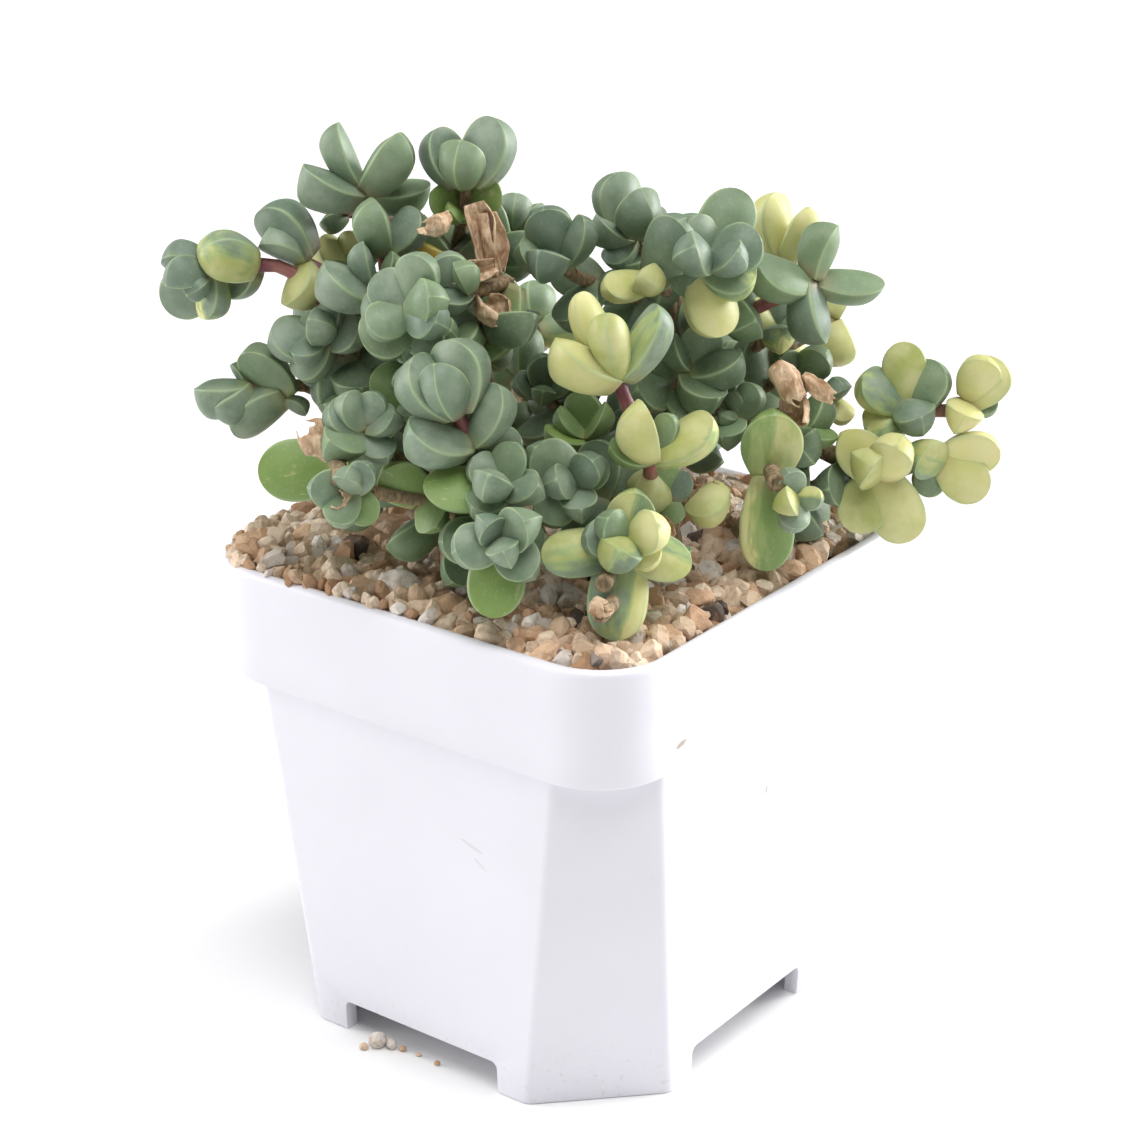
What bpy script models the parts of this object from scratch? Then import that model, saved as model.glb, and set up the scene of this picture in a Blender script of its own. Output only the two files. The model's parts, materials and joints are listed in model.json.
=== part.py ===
"""Potted variegated ice plant: a square white nursery pot, its grit and a bushy trailing succulent.

Units are metres, +Z is up and the origin is the bottom centre of the whole object's bounding box.
The planting plan is written in millimetres from the pot's centre, as seen from the plant's best side:
(across to the right, toward the viewer, up from the ground).
"""

import math
import random

import bmesh
import bpy
from mathutils import Vector
from mathutils.bvhtree import BVHTree

MM = 0.001
GAP = 0.3 * MM  # air left between pieces that touch
BEST_SIDE = math.radians(36.7)  # turn of the best side, from the -Y wall towards the +X wall

# Pot: a tapered square body with cut corners, a round-cornered rim band and four feet
RIM_HALF = 40.0 * MM
RIM_FOOT_HALF = 39.2 * MM
RIM_HEIGHT = 18.5 * MM
RIM_CORNER = 12.0 * MM
LIP = 2.2 * MM
BODY_TOP_HALF = 38.3 * MM
BODY_TOP_CUT = 11.0 * MM
BASE_HALF = 36.0 * MM
BASE_CUT = 15.5 * MM
POT_HEIGHT = 76.0 * MM
WALL = 1.7 * MM
FOOT_WALL = 2.4 * MM
NOTCH_HALF = 15.0 * MM
NOTCH_HEIGHT = 5.4 * MM
FLOOR = 1.6 * MM
DRAIN_RADIUS = 3.0 * MM
DRAIN_RING = 17.0 * MM

# Fill: potting mix with a layer of grit on it
MIX_TOP = 67.0 * MM
GRIT_EDGE = 74.2 * MM
GRIT_CROWN = 2.6 * MM
GRIT_LUMP = 0.7 * MM
GRIT_CELLS = 10

# Leaves: three-sided, with two margins and a keel
BREADTH = 0.90  # of the length
KEEL_DEPTH = 0.60  # of the breadth
LEAF_RINGS = ((0.0, 0.60, 0.70), (0.38, 1.0, 0.94), (0.78, 0.90, 0.98))  # place, breadth, keel
WHORL_STEP = 0.8 * MM
CORE_RADIUS = 2.6 * MM
SHEATH_RADIUS = 2.3 * MM
BOW = 0.36  # of the length
FLANK_OUT = 0.74  # of the half breadth
FLANK_DOWN = 0.62  # of the keel's depth
SMALLEST_LEAF = 0.52
SIZE_STEP = 0.06
OLDER_REACH = 7.5 * MM  # older leaves, in crossed pairs below a whorl
OLDER_LEAN = 0.5
OLDER_OVERLAP = 0.4 * MM  # of two leaves of a pair, where they meet in the stem
OLDER_SPACING = 3.5 * MM
LEAF_FACES = 21  # triangles for each leaf of a joined cluster
RUN_FACES = 40  # and for each run of a joined stem
FLAT_ENOUGH = math.radians(3)  # faces this near to flat are joined after a cut

# Stems
TRUNK_RADIUS = 2.0 * MM
TWIG_RADIUS = 0.95 * MM
FORK_RADIUS = 1.09 * MM  # of a twig where it leaves its trunk
LOWEST_FORK = 79.0 * MM
FORK_SLOPE = 0.8
LEAVING = 0.33  # share of a twig's length that runs the way it left, and the way it arrives
ARRIVING = 0.38
STEM_SIDES = 5
ROOT_DEPTH = 52.0  # height above the ground where the rooted trunks begin
SOCKET = 0.6 * MM  # how far a twig reaches into its leaf core

# Leaf colours by letter: green, shaded green, yellow, half and half, olive, bright green
LEAF_COLOURS = {
    "g": (0.30, 0.42, 0.32),
    "G": (0.16, 0.26, 0.20),
    "y": (0.72, 0.76, 0.30),
    "h": (0.48, 0.58, 0.32),
    "o": (0.42, 0.48, 0.22),
    "b": (0.34, 0.52, 0.20),
}

# Trunks: height-ordered points of each rooted stem
# shoots whose twigs show bare below their leaves
BARE_TWIGS = ("leaves_left_pair", "leaves_yellow_centre", "leaves_scarred_pair")

TRUNKS = {
    "stem_left": [(-19, 4, ROOT_DEPTH), (-20, 4, 76), (-24, 4, 90), (-30, 4, 104)],
    "stem_upper_left": [(-9, -8, ROOT_DEPTH), (-9, -8, 76), (-11, -8, 96), (-15, -5, 114)],
    "stem_front_left": [(-13, 20, ROOT_DEPTH), (-13, 20, 76), (-14, 21, 88), (-16, 20, 104)],
    "stem_right": [(13, -6, ROOT_DEPTH), (13, -6, 76), (14, -5, 96), (17, -3, 112)],
    "stem_front_right": [(17, 14, ROOT_DEPTH), (17, 14, 76), (15, 16, 88), (12, 19, 98)],
    "stem_far_right": [(27, 3, ROOT_DEPTH), (27, 3, 76), (34, 3, 82), (42, 3, 87)],
}

# Shoots: each has a trunk and its whorls of leaves from the base outwards. A whorl is its centre and
# the reach of each leaf from there to its tip, outer leaves first, then the leaf's colour letter and
# its breadth where these differ from plain green and the usual share of the length.
SHOOTS = {
    "leaves_left_pair": ("stem_left", None, [
        ((-45, 5, 120), [(-7.5, 4, 2.5, "h"), (-5, -2, -4)]),
    ]),
    "leaves_left_tip": ("stem_left", "leaves_left_pair", [
        ((-51, 6.5, 119.5), [(-9, 1, 2), (-2, 3, -9, "h"), (-7, -1, -6), (-6, 5, -1), (-3, 5, -2)]),
    ]),
    "leaves_left_upper": ("stem_left", None, [
        ((-37.5, 3, 120), [(-6.5, 0, 7.5), (-2.5, 5, -4.5, "y"), (-7, 4, 4)]),
    ]),
    "leaves_left_inner": ("stem_left", None, [
        ((-31, -3, 117), [(-4, 0, 5.5, "y"), (2.5, 0, 6, "o"), (-4, 3, 2, "G"), (-1, -1, 7, "y")]),
    ]),
    "leaves_left_cluster": ("stem_left", None, [
        ((-31.5, 6, 107), [(-1, 3, -8.5, "g", 8), (3, 1, 5, "G")]),
        ((-34, 9, 110), [(-7.5, 3, 2.5), (4.5, 3, 3.5), (-5, 0, 7), (-5, 2, -4.5), (-4.5, 5, 0),
                         (-2.5, 5, 5), (1, 1, 6.5)]),
    ]),
    "leaves_left_low": ("stem_left", None, [
        ((-40.5, 7, 100.5), [(-6.5, 2, 7.5, "g", 7.6), (-7.5, 2, -5.5, "g", 7.4), (3, 2, -2, "G")]),
        ((-46, 6, 102), [(-8, 1, 0.5), (-5.5, 3, -2.5), (-3, -1, 2.8)]),
    ]),
    "leaves_grey_round": ("stem_left", None, [
        ((-26.5, 12, 118), [(-6.5, 3, 5.5, "g", 8), (2.5, 1, 7, "G", 4), (-1, 2, 8.3, "g", 4.5)]),
    ]),
    "leaves_upper_left": ("stem_upper_left", None, [
        ((-32, -5, 125.5), [(-7, 0, 2.5, "G"), (-4.5, 2.5, -1.2, "G")]),
        ((-28.5, 2, 130.5), [(-8, 3, 5, "g", 8), (9.5, -3, 1, "g", 7), (5, 2, 9.5, "g", 7.4),
                             (-3, 0, 10.3, "g", 6)]),
    ]),
    "leaves_round_pair": ("stem_upper_left", None, [
        ((-25, 8, 123.5), [(-1, 3, 10, "g", 8), (4, -1, 6)]),
    ]),
    "leaves_crown": ("stem_upper_left", None, [
        ((-14, 3, 127), [(-4.5, 2, 5, "b"), (4.5, 1, 5.5, "b"), (-1.5, 5, 2.5, "b", 3.6),
                         (2, 5, 2.5, "b", 3.6)]),
        ((-13.5, 3, 132), [(-4, -1, 8.5), (3.5, -1, 9.5), (-0.5, 3.8, 7.6, "g", 6.8)]),
    ]),
    "leaves_behind_crown": ("stem_upper_left", None, [
        ((-7, -13, 121), [(-3, 0, 5), (4, 0, 4), (0.5, 2, 6), (0, -4, 4)]),
    ]),
    "leaves_old_yellow": ("stem_upper_left", None, [
        ((-15.5, 1, 120), [(-8, 3.5, 4.5, "y", 5.4), (-4, -2, 6.5, "G"), (3.5, -3, 5, "G")]),
    ]),
    "leaves_front_left": ("stem_front_left", None, [
        ((-20.5, 21, 118), [(-7, 3, -3.5, "G", 8), (2.5, 5, -4.5, "g", 6), (-7.5, 0, 1),
                            (0.5, 3, 9, "g", 6.6), (-5.5, 0, 5.5), (-6, 5, 0), (3, 8, 1.5),
                            (2, 7.5, 4.8)]),
    ]),
    "leaves_crumpled": ("stem_front_left", None, [
        ((-7.5, 11, 119.5), [(-4.5, 4, -10.5, "o", 9)]),
        ((-13, 15, 119.5), [(-4.5, 2, 4.5), (-4.5, 4, 0.5), (-2, 4, 4)]),
    ]),
    "leaves_front_upper": ("stem_front_left", None, [
        ((-12.7, 31, 102.5), [(-7.5, 4.5, 4, "g", 8.2), (4, 1.5, 8.5, "g", 6.8)]),
        ((-14.3, 31, 107), [(-5.5, 1, 8), (-1, 0, 10), (-2.8, 4, 8.6, "g", 6.8)]),
    ]),
    "leaves_left_of_front": ("stem_front_left", None, [
        ((-20, 22, 106), [(-8, 1, 4, "o"), (-2, 3.5, -1.5, "G"), (-2.5, 2.5, 4), (0, 4, 3)]),
    ]),
    "leaves_ribbed": ("stem_front_left", None, [
        ((-27.5, 25, 101.5), [(5.5, 0, 2.5, "o"), (-4.5, 5.5, 1.5), (3.5, 4.5, -1.5), (-4.5, 2, 5),
                              (4, 3, 4.5), (-2, 2.5, 6.5), (1.5, 2, 6.5)]),
    ]),
    "leaves_low_left_old": ("stem_front_left", None, [
        ((-32, 18, 93.5), [(-11.5, 2.5, 0.5, "b", 9), (1.5, 5, 2, "o", 4)]),
    ]),
    "leaves_low_left": ("stem_front_left", None, [
        ((-19.5, 24, 91), [(-6, 4, 6, "b", 8), (1.5, 6, -1.5, "o", 6)]),
        ((-29, 31, 95), [(2.5, 2.5, -4, "o"), (-5.5, 3, 1.5), (2, 2, 4.5), (-2.5, 5, -2.5),
                         (-1, 5, 3.5)]),
    ]),
    "leaves_mid_rosette": ("stem_front_left", None, [
        ((-8, 34, 96.5), [(-11.5, 2, 1.5, "b", 8), (-4, 4.5, -0.5), (-4.5, 1, 6), (4.8, 4, 2.5),
                          (1.5, 0.5, 7), (-1.5, 6, 5)]),
    ]),
    "leaves_low_front": ("stem_front_left", None, [
        ((-8, 39.5, 91), [(-1.5, 5, -9.5, "b", 8), (4, 5, -3), (-6, 4.5, 0.5, "g", 6.6), (-1.5, 1, 6),
                          (2.7, 6, 5, "g", 6.4), (-1.5, 5.5, 4), (0.2, 7.5, 1.8)]),
    ]),
    "leaves_mid_right": ("stem_front_right", None, [
        ((2, 29, 95), [(-4.5, 4.5, -3), (-5, 2, 6.5), (4.5, 0, 4), (1, 6.5, -0.5), (2.2, 4.5, 5.2),
                       (-2, 6, 3.5)]),
    ]),
    "leaves_front": ("stem_front_right", None, [
        ((9, 35.5, 88.5), [(-1.5, 7, -11.3, "h", 8.4), (-11.5, 2.5, -0.5, "h", 7), (9.5, 1.5, -2.5, "h", 7),
                           (-5, 3, 3.2), (4.5, 4.5, 0, "y"), (1.5, 2, 8.5, "h"), (-0.5, 7.5, 3, "h", 6.4),
                           (4, 6, 5.5, "y"), (-2, 5.5, 6.2)]),
    ]),
    "leaves_lime_low": ("stem_front_right", None, [
        ((13.5, 28, 85), [(5.5, 3.5, 1.5, "o", 5.6)]),
        ((16, 22, 90), [(-2, 1, 6, "o"), (-4.8, 3.5, 4, "y"), (2, 0, 4.5), (0.5, 3.5, -2, "o")]),
        ((23, 21, 92), [(-4, 4.5, -2.5, "y", 6.4)]),
    ]),
    "leaves_yellow_fork": ("stem_front_right", "leaves_yellow_centre", [
        ((8, 27.5, 111), [(-8, 3.5, 6.5, "y", 8), (5.2, 0, 10.3, "h", 7), (-5, 0, 12, "y", 5.6),
                          (-2, 3.8, 10.5, "y", 5.8)]),
    ]),
    "leaves_yellow_centre": ("stem_front_right", None, [
        ((13, 28.5, 99.5), [(-9, 4.5, 4, "o", 8.2), (8, 2, 6.3, "h", 7), (2.2, 2, 6.5, "g", 4),
                            (-0.7, 6.3, 9.8, "y", 7.4)]),
    ]),
    "leaves_olive_behind": ("stem_front_right", None, [
        ((4, 9, 95), [(-6, 2, 2.5, "b"), (-1.5, 0, 7, "o"), (2.2, 2, 6, "o"), (-4, 1, 5, "o")]),
    ]),
    "leaves_top_left_of_middle": ("stem_right", None, [
        ((0, 6, 121), [(-5.5, 2, 3.5), (3, 4, 7.5, "g", 5.6), (-2.5, 2, 8), (-3, 6, 4)]),
    ]),
    "leaves_top_middle": ("stem_right", None, [
        ((10.5, 1, 123.5), [(-4, 2.5, -3), (-4.8, 2, 4), (4.5, -2, 4), (-2, 0, 9.4), (0.8, 4, 8.6)]),
    ]),
    "leaves_top_right": ("stem_right", None, [
        ((13.3, 10, 119.5), [(3, 5.5, 10, "g", 8), (-6.5, 8, 1.5, "y", 5), (-2.5, 8.5, 3.5, "y", 5)]),
        ((20.5, 12, 122), [(3, 4, -9, "y", 8), (5.8, -4, 10.2, "g", 8.2), (-4, 2, -3, "G"),
                           (7, 4, -0.5, "h"), (7.8, 2, 5), (-1, 2, 8), (4.2, 6, 4.6), (-1, 7.5, 5.5)]),
    ]),
    "leaves_yellow_round": ("stem_right", None, [
        ((34, -13, 116.5), [(-1, -1, 9.5, "y", 7.6), (2.7, 2, 8.3, "y", 6)]),
    ]),
    "leaves_right_cross": ("stem_right", None, [
        ((37, 2.5, 117), [(2.7, 3.5, -8.2, "g", 7.8), (-8, 4.5, 4.3, "g", 7.8), (4.2, -1, 8, "g", 7),
                          (11, -2, -0.3, "g", 6.4)]),
    ]),
    "leaves_mottled": ("stem_right", None, [
        ((32, -5, 107), [(0, 0, 7), (5.5, 1, 2.5), (-3.2, 2.5, 5, "y"), (1, 6.5, 3, "h")]),
    ]),
    "leaves_dark_pair": ("stem_right", None, [
        ((36, -3, 100.5), [(-3, 3.5, 4, "G"), (3.2, 3.5, 4, "G"), (0, 4.5, -0.5, "G")]),
        ((41, -1, 97.5), [(2.5, 3, -2, "y"), (1.7, 3.5, 2.5)]),
    ]),
    "leaves_yellow_behind": ("stem_right", None, [
        ((42, -16, 105), [(2.5, 1.5, -6.5, "y", 6.4), (2, -4, 3, "y")]),
    ]),
    "leaves_dark_wedges": ("stem_right", None, [
        ((19, 8, 105), [(4.5, 4.5, -2, "G", 8), (7.2, 2, 3.8, "G", 7), (-2, 1, 6, "G"), (3, 0, 7, "G")]),
    ]),
    "leaves_hollow": ("stem_right", None, [
        ((-2.5, -6, 97), [(-4, 1, 3, "G"), (4, 1, 3, "G"), (0, 4.5, 2, "G"), (0, 2, 6, "G")]),
    ]),
    "leaves_small_dark": ("stem_far_right", None, [
        ((26, 8, 98), [(2.3, 1, 5, "G"), (-2.5, 5, -1), (-1, 1, 5, "G"), (-3, 4, 1.8)]),
    ]),
    "leaves_scarred_pair": ("stem_far_right", None, [
        ((30.5, 17, 92), [(0.5, 1.5, 9.5, "b", 9), (-0.5, 5, -13, "b", 8)]),
    ]),
    "leaves_striped_bud": ("stem_far_right", None, [
        ((34, 22, 90.5), [(-0.5, 4.5, -2.7), (-1, 2, 4.3), (3.2, 3, 1, "h"), (-1, 5.5, 1.5, "y")]),
    ]),
    "leaves_olive_right": ("stem_far_right", None, [
        ((32, 5, 97), [(9.3, 2.5, -2, "o", 6.6)]),
    ]),
    "leaves_branch_base": ("stem_far_right", None, [
        ((48, 8, 88.5), [(-5, 4, -7, "y", 8), (-7, 1, 7.6, "y", 8), (4, 4, -9, "y", 8),
                         (-2, 7, 3.5, "y", 6.8), (0.7, 6.5, 6.5, "y", 6.8)]),
    ]),
    "leaves_branch_middle": ("stem_far_right", "leaves_branch_base", [
        ((51.5, 2.5, 97), [(-6.5, 3, -2, "h", 8), (5.2, 1, 8.6, "g", 8), (-6.5, 1.5, 6.5, "h", 7.4),
                           (-0.5, 0, 10.5, "y", 6.6), (1.7, 5.8, 1.5, "g", 6.4)]),
    ]),
    "leaves_branch_low": ("stem_far_right", "leaves_branch_base", [
        ((57, 6, 90), [(-3, 2, -5.5, "G", 6.6), (8.2, 2.5, 2.4, "y", 7.2), (6.4, 3.5, -4, "y", 7.2),
                       (-3.8, 4.5, 2, "h", 7)]),
    ]),
    "leaves_branch_tip": ("stem_far_right", "leaves_branch_middle", [
        ((60.5, 3, 98), [(4.8, 0, 1, "G"), (-2.5, 0, 5.5), (4.8, 1, 7, "y"), (-1, 7.5, 0.5, "y", 9.4),
                         (2.4, 3, 7.5, "y", 6.4)]),
    ]),
    "leaves_back_left": ("stem_left", None, [
        ((-34, -17, 106), [(-7, -3, 1), (4, -6, 4), (-3, -6, 5), (-3, -1, 7)]),
    ]),
    "leaves_back_upper_left": ("stem_upper_left", None, [
        ((-16, -25, 112), [(-7, -4, 1), (6, -6, 1), (0, -8, 4), (-1, -4, 8)]),
    ]),
    "leaves_back_middle": ("stem_upper_left", None, [
        ((-4, -36, 97), [(-7, -3, 1), (7, -3, 1, "h"), (0, -8, -2), (0, -6, 6)]),
    ]),
    "leaves_back_right": ("stem_right", None, [
        ((20, -27, 110), [(7, -4, 1), (-6, -5, 1), (1, -8, 4, "h"), (1, -4, 8)]),
    ]),
    "leaves_back_low_right": ("stem_right", None, [
        ((32, -33, 94), [(7, -4, 0, "y"), (-5, -6, 0), (2, -7, -3, "h"), (2, -5, 6, "h")]),
    ]),
}


def spot(across, toward, up):
    """The point at these millimetres, seen from the best side."""
    c, s = math.cos(BEST_SIDE), math.sin(BEST_SIDE)
    return Vector((across * c + toward * s, across * s - toward * c, up)) * MM


def material(name, colour, roughness):
    made = bpy.data.materials.new(name)
    made.use_nodes = True
    shader = made.node_tree.nodes["Principled BSDF"]
    shader.inputs["Base Color"].default_value = (*colour, 1)
    shader.inputs["Roughness"].default_value = roughness
    shader.inputs["Metallic"].default_value = 0
    return made


def add_object(name, bm, look=None):
    mesh = bpy.data.meshes.new(name)
    bmesh.ops.recalc_face_normals(bm, faces=bm.faces)
    bm.to_mesh(mesh)
    bm.free()
    made = bpy.data.objects.new(name, mesh)
    bpy.context.scene.collection.objects.link(made)
    if look:
        mesh.materials.append(look)
    return made


def loft(rings, tip=None):
    """A closed shape through rings of points, all with the same count, with a point at the end if given."""
    bm = bmesh.new()
    verts = [[bm.verts.new(p) for p in ring] for ring in rings]
    for lower, upper in zip(verts, verts[1:]):
        count = len(lower)
        for i in range(count):
            j = (i + 1) % count
            bm.faces.new((lower[i], lower[j], upper[j], upper[i]))
    bm.faces.new(verts[0][::-1])
    if tip is None:
        bm.faces.new(verts[-1])
        return bm
    end = bm.verts.new(tip)
    for a, b in zip(verts[-1], verts[-1][1:] + verts[-1][:1]):
        bm.faces.new((a, b, end))
    return bm


def modified(target):
    """The target's mesh with its modifiers applied, which then come off."""
    bpy.context.view_layer.update()
    evaluated = target.evaluated_get(bpy.context.evaluated_depsgraph_get())
    result = bpy.data.meshes.new_from_object(evaluated)
    target.modifiers.clear()
    return result


def is_closed(mesh):
    bm = bmesh.new()
    bm.from_mesh(mesh)
    closed = len(bm.faces) > 0 and all(len(edge.link_faces) == 2 for edge in bm.edges)
    bm.free()
    return closed


def size_of(mesh):
    low, high = bounds_of([v.co for v in mesh.vertices])
    return (Vector(high) - Vector(low)).length


def boolean(target, others, operation):
    """Joins or cuts the target with each of the others in turn."""
    for other in others:
        least = 0.999 * size_of(target.data) if operation == "UNION" else 0.0
        for solver in ("MANIFOLD", "EXACT"):
            step = target.modifiers.new("join", "BOOLEAN")
            step.operation = operation
            step.object = other
            step.solver = solver
            result = modified(target)
            if is_closed(result) and size_of(result) > least:
                break
            print(solver, operation, "fails on", target.name, "with", other.name)
        target.data = result


def simplify(target, faces):
    """Brings the target to about this many triangles: joins leave slivers that carry no shape."""
    count = sum(len(p.vertices) - 2 for p in target.data.polygons)
    while faces < count:
        step = target.modifiers.new("simplify", "DECIMATE")
        step.ratio = faces / count
        step.use_collapse_triangulate = True
        result = modified(target)
        if is_closed(result):
            target.data = result
            return
        faces *= 1.15


def remove(objects):
    for made in objects:
        bpy.data.objects.remove(made)


def keep_largest_body(made):
    """Drops small islands that a cut has left."""
    bm = bmesh.new()
    bm.from_mesh(made.data)
    islands = []
    unseen = set(bm.verts)
    while unseen:
        stack = [unseen.pop()]
        island = set(stack)
        while stack:
            for edge in stack.pop().link_edges:
                for vert in edge.verts:
                    if vert in unseen:
                        unseen.discard(vert)
                        island.add(vert)
                        stack.append(vert)
        islands.append(island)
    islands.sort(key=len)
    for island in islands[:-1]:
        low, high = bounds_of([v.co for v in island])
        print(made.name, "drops an island", [round((b - a) / MM, 1) for a, b in zip(low, high)], "mm")
    for island in islands[:-1]:
        bmesh.ops.delete(bm, geom=list(island), context="VERTS")
    bmesh.ops.triangulate(bm, faces=bm.faces)
    bm.to_mesh(made.data)
    joined = made.data.copy()
    bmesh.ops.dissolve_limit(bm, angle_limit=FLAT_ENOUGH, verts=bm.verts, edges=bm.edges)
    bmesh.ops.triangulate(bm, faces=bm.faces)
    bm.to_mesh(joined)
    bm.free()
    if is_closed(joined):
        made.data = joined


def room_taken(bm):
    """A shape's box and its tree, for finding what it would run into."""
    bm.normal_update()
    taken = bounds_of([v.co for v in bm.verts]), BVHTree.FromBMesh(bm)
    bm.free()
    return taken


def room_of(made):
    bm = bmesh.new()
    bm.from_mesh(made.data)
    return room_taken(bm)


# ---- pot and fill ----


def corner_ring(half, height, cut=None, radius=None):
    """A square ring at this height whose corners are straight cuts with soft ends, or arcs."""
    points = []
    for quarter in range(4):
        turn = quarter * math.pi / 2
        c, s = math.cos(turn), math.sin(turn)
        if radius is not None:
            arc = [math.radians(a) for a in (0, 22.5, 45, 67.5, 90)]
            corner = [(half - radius + radius * math.cos(a), half - radius + radius * math.sin(a)) for a in arc]
        else:
            soft = 0.22 * cut
            near = half - cut
            corner = [
                (half, near - soft),
                (half - soft, near + soft),
                (half - cut / 2, half - cut / 2),
                (near + soft, half - soft),
                (near - soft, half),
            ]
        points += [Vector((x * c - y * s, x * s + y * c, height)) for x, y in corner]
    return points


def body_half(height):
    """The body's outer half width at this height."""
    share = height / (POT_HEIGHT - RIM_HEIGHT)
    return BASE_HALF + (BODY_TOP_HALF - BASE_HALF) * share


def body_cut(height):
    share = height / (POT_HEIGHT - RIM_HEIGHT)
    return BASE_CUT + (BODY_TOP_CUT - BASE_CUT) * share


def body_ring(height, inset=0.0):
    return corner_ring(body_half(height) - inset, height, cut=body_cut(height) - 0.59 * inset)


def rim_ring(height, inset=0.0):
    band = (height - POT_HEIGHT + RIM_HEIGHT) / RIM_HEIGHT
    half = RIM_FOOT_HALF + (RIM_HALF - RIM_FOOT_HALF) * max(0.0, band)
    return corner_ring(half - inset, height, radius=RIM_CORNER - inset)


def make_pot(look):
    band = POT_HEIGHT - RIM_HEIGHT
    soft = 0.7 * MM
    outside = [
        body_ring(0, soft * 0.5),
        body_ring(soft),
        body_ring(band - 0.1 * MM),
        rim_ring(band, 0.3 * MM),
        rim_ring(band + soft),
        rim_ring(POT_HEIGHT - soft),
        rim_ring(POT_HEIGHT, soft),
    ]
    pot = add_object("pot", loft(outside), look)
    floor_top = NOTCH_HEIGHT + FLOOR
    inside = [
        body_ring(floor_top, WALL),
        body_ring(band - 2 * MM, WALL),
        rim_ring(band + 2.5 * MM, LIP),
        rim_ring(POT_HEIGHT - soft, LIP),
        rim_ring(POT_HEIGHT + soft, LIP - 2 * soft),
    ]
    cutters = [add_object("pot_inside", loft(inside))]
    under = [body_ring(-MM, FOOT_WALL), body_ring(NOTCH_HEIGHT, FOOT_WALL)]
    cutters.append(add_object("pot_underside", loft(under)))
    long_side, high = 2 * RIM_HALF, NOTCH_HEIGHT
    for name, size in (("notch_across", (long_side, 2 * NOTCH_HALF)), ("notch_along", (2 * NOTCH_HALF, long_side))):
        bm = bmesh.new()
        bmesh.ops.create_cube(bm, size=1)
        bmesh.ops.scale(bm, vec=(*size, high + MM), verts=bm.verts)
        bmesh.ops.translate(bm, vec=(0, 0, (high - MM) / 2), verts=bm.verts)
        upright = [e for e in bm.edges if abs(e.verts[0].co.z - e.verts[1].co.z) < MM and e.verts[0].co.z > 0]
        along = 0 if name == "notch_across" else 1
        upright = [e for e in upright if abs(e.verts[0].co[along] - e.verts[1].co[along]) > MM]
        bmesh.ops.bevel(bm, geom=upright, offset=1.1 * MM, segments=2, profile=0.5, affect="EDGES")
        cutters.append(add_object(name, bm))
    for index in range(5):
        angle = index * math.pi / 2
        ring = DRAIN_RING if index < 4 else 0.0
        bm = bmesh.new()
        bmesh.ops.create_cone(
            bm, cap_ends=True, segments=8, radius1=DRAIN_RADIUS, radius2=DRAIN_RADIUS, depth=4 * FLOOR
        )
        place = (ring * math.cos(angle), ring * math.sin(angle), NOTCH_HEIGHT + FLOOR / 2)
        bmesh.ops.translate(bm, vec=place, verts=bm.verts)
        cutters.append(add_object(f"drain_{index}", bm))
    boolean(pot, cutters, "DIFFERENCE")
    remove(cutters)
    pot.data.shade_smooth()
    pot.data.set_sharp_from_angle(angle=math.radians(25))
    return pot


def make_mix(look):
    band = POT_HEIGHT - RIM_HEIGHT
    inset = WALL + GAP
    rings = [
        body_ring(NOTCH_HEIGHT + FLOOR + GAP, inset),
        body_ring(band - MM, inset),
        rim_ring(band + 4 * MM, LIP + GAP),
        rim_ring(MIX_TOP, LIP + GAP),
    ]
    return add_object("potting_mix", loft(rings), look)


def grit_height(x, y, rng):
    """The grit is mounded and a little uneven."""
    reach = max(abs(x), abs(y)) / (RIM_HALF - LIP)
    return GRIT_EDGE + GRIT_CROWN * (1 - reach**2) + rng.uniform(-GRIT_LUMP, GRIT_LUMP)


def make_grit(look):
    """A lumpy layer with a flat underside, shaped like the inside of the rim."""
    rng = random.Random(4)
    half = RIM_HALF - LIP - GAP - 0.4 * MM
    radius = RIM_CORNER - LIP - GAP
    bm = bmesh.new()
    base = MIX_TOP + GAP
    top, low = {}, {}
    for i in range(GRIT_CELLS + 1):
        for j in range(GRIT_CELLS + 1):
            x = half * (2 * i / GRIT_CELLS - 1)
            y = half * (2 * j / GRIT_CELLS - 1)
            inner = half - radius
            over = Vector((max(abs(x) - inner, 0), max(abs(y) - inner, 0)))
            far = max(over.x, over.y)
            if over.length > 0:
                over = over * (far / over.length)
                x = math.copysign(min(abs(x), inner) + over.x, x)
                y = math.copysign(min(abs(y), inner) + over.y, y)
            top[i, j] = bm.verts.new((x, y, grit_height(x, y, rng)))
            low[i, j] = bm.verts.new((x, y, base))
    for i in range(GRIT_CELLS):
        for j in range(GRIT_CELLS):
            bm.faces.new((top[i, j], top[i + 1, j], top[i + 1, j + 1], top[i, j + 1]))
            bm.faces.new((low[i, j], low[i, j + 1], low[i + 1, j + 1], low[i + 1, j]))
    border = [(i, 0) for i in range(GRIT_CELLS)] + [(GRIT_CELLS, j) for j in range(GRIT_CELLS)]
    border += [(i, GRIT_CELLS) for i in range(GRIT_CELLS, 0, -1)] + [(0, j) for j in range(GRIT_CELLS, 0, -1)]
    for a, b in zip(border, border[1:] + border[:1]):
        bm.faces.new((low[a], low[b], top[b], top[a]))
    bmesh.ops.triangulate(bm, faces=bm.faces)
    return add_object("grit_layer", bm, look)


# ---- stems ----


def smooth_path(points, steps):
    """A Catmull-Rom curve through the points."""
    ends = [2 * points[0] - points[1], *points, 2 * points[-1] - points[-2]]
    path = []
    for a, b, c, d in zip(ends, ends[1:], ends[2:], ends[3:]):
        for k in range(steps):
            t = k / steps
            path.append(0.5 * (2 * b + (c - a) * t + (2 * a - 5 * b + 4 * c - d) * t**2
                               + (3 * b - a - 3 * c + d) * t**3))
    path.append(points[-1].copy())
    return path


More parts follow.
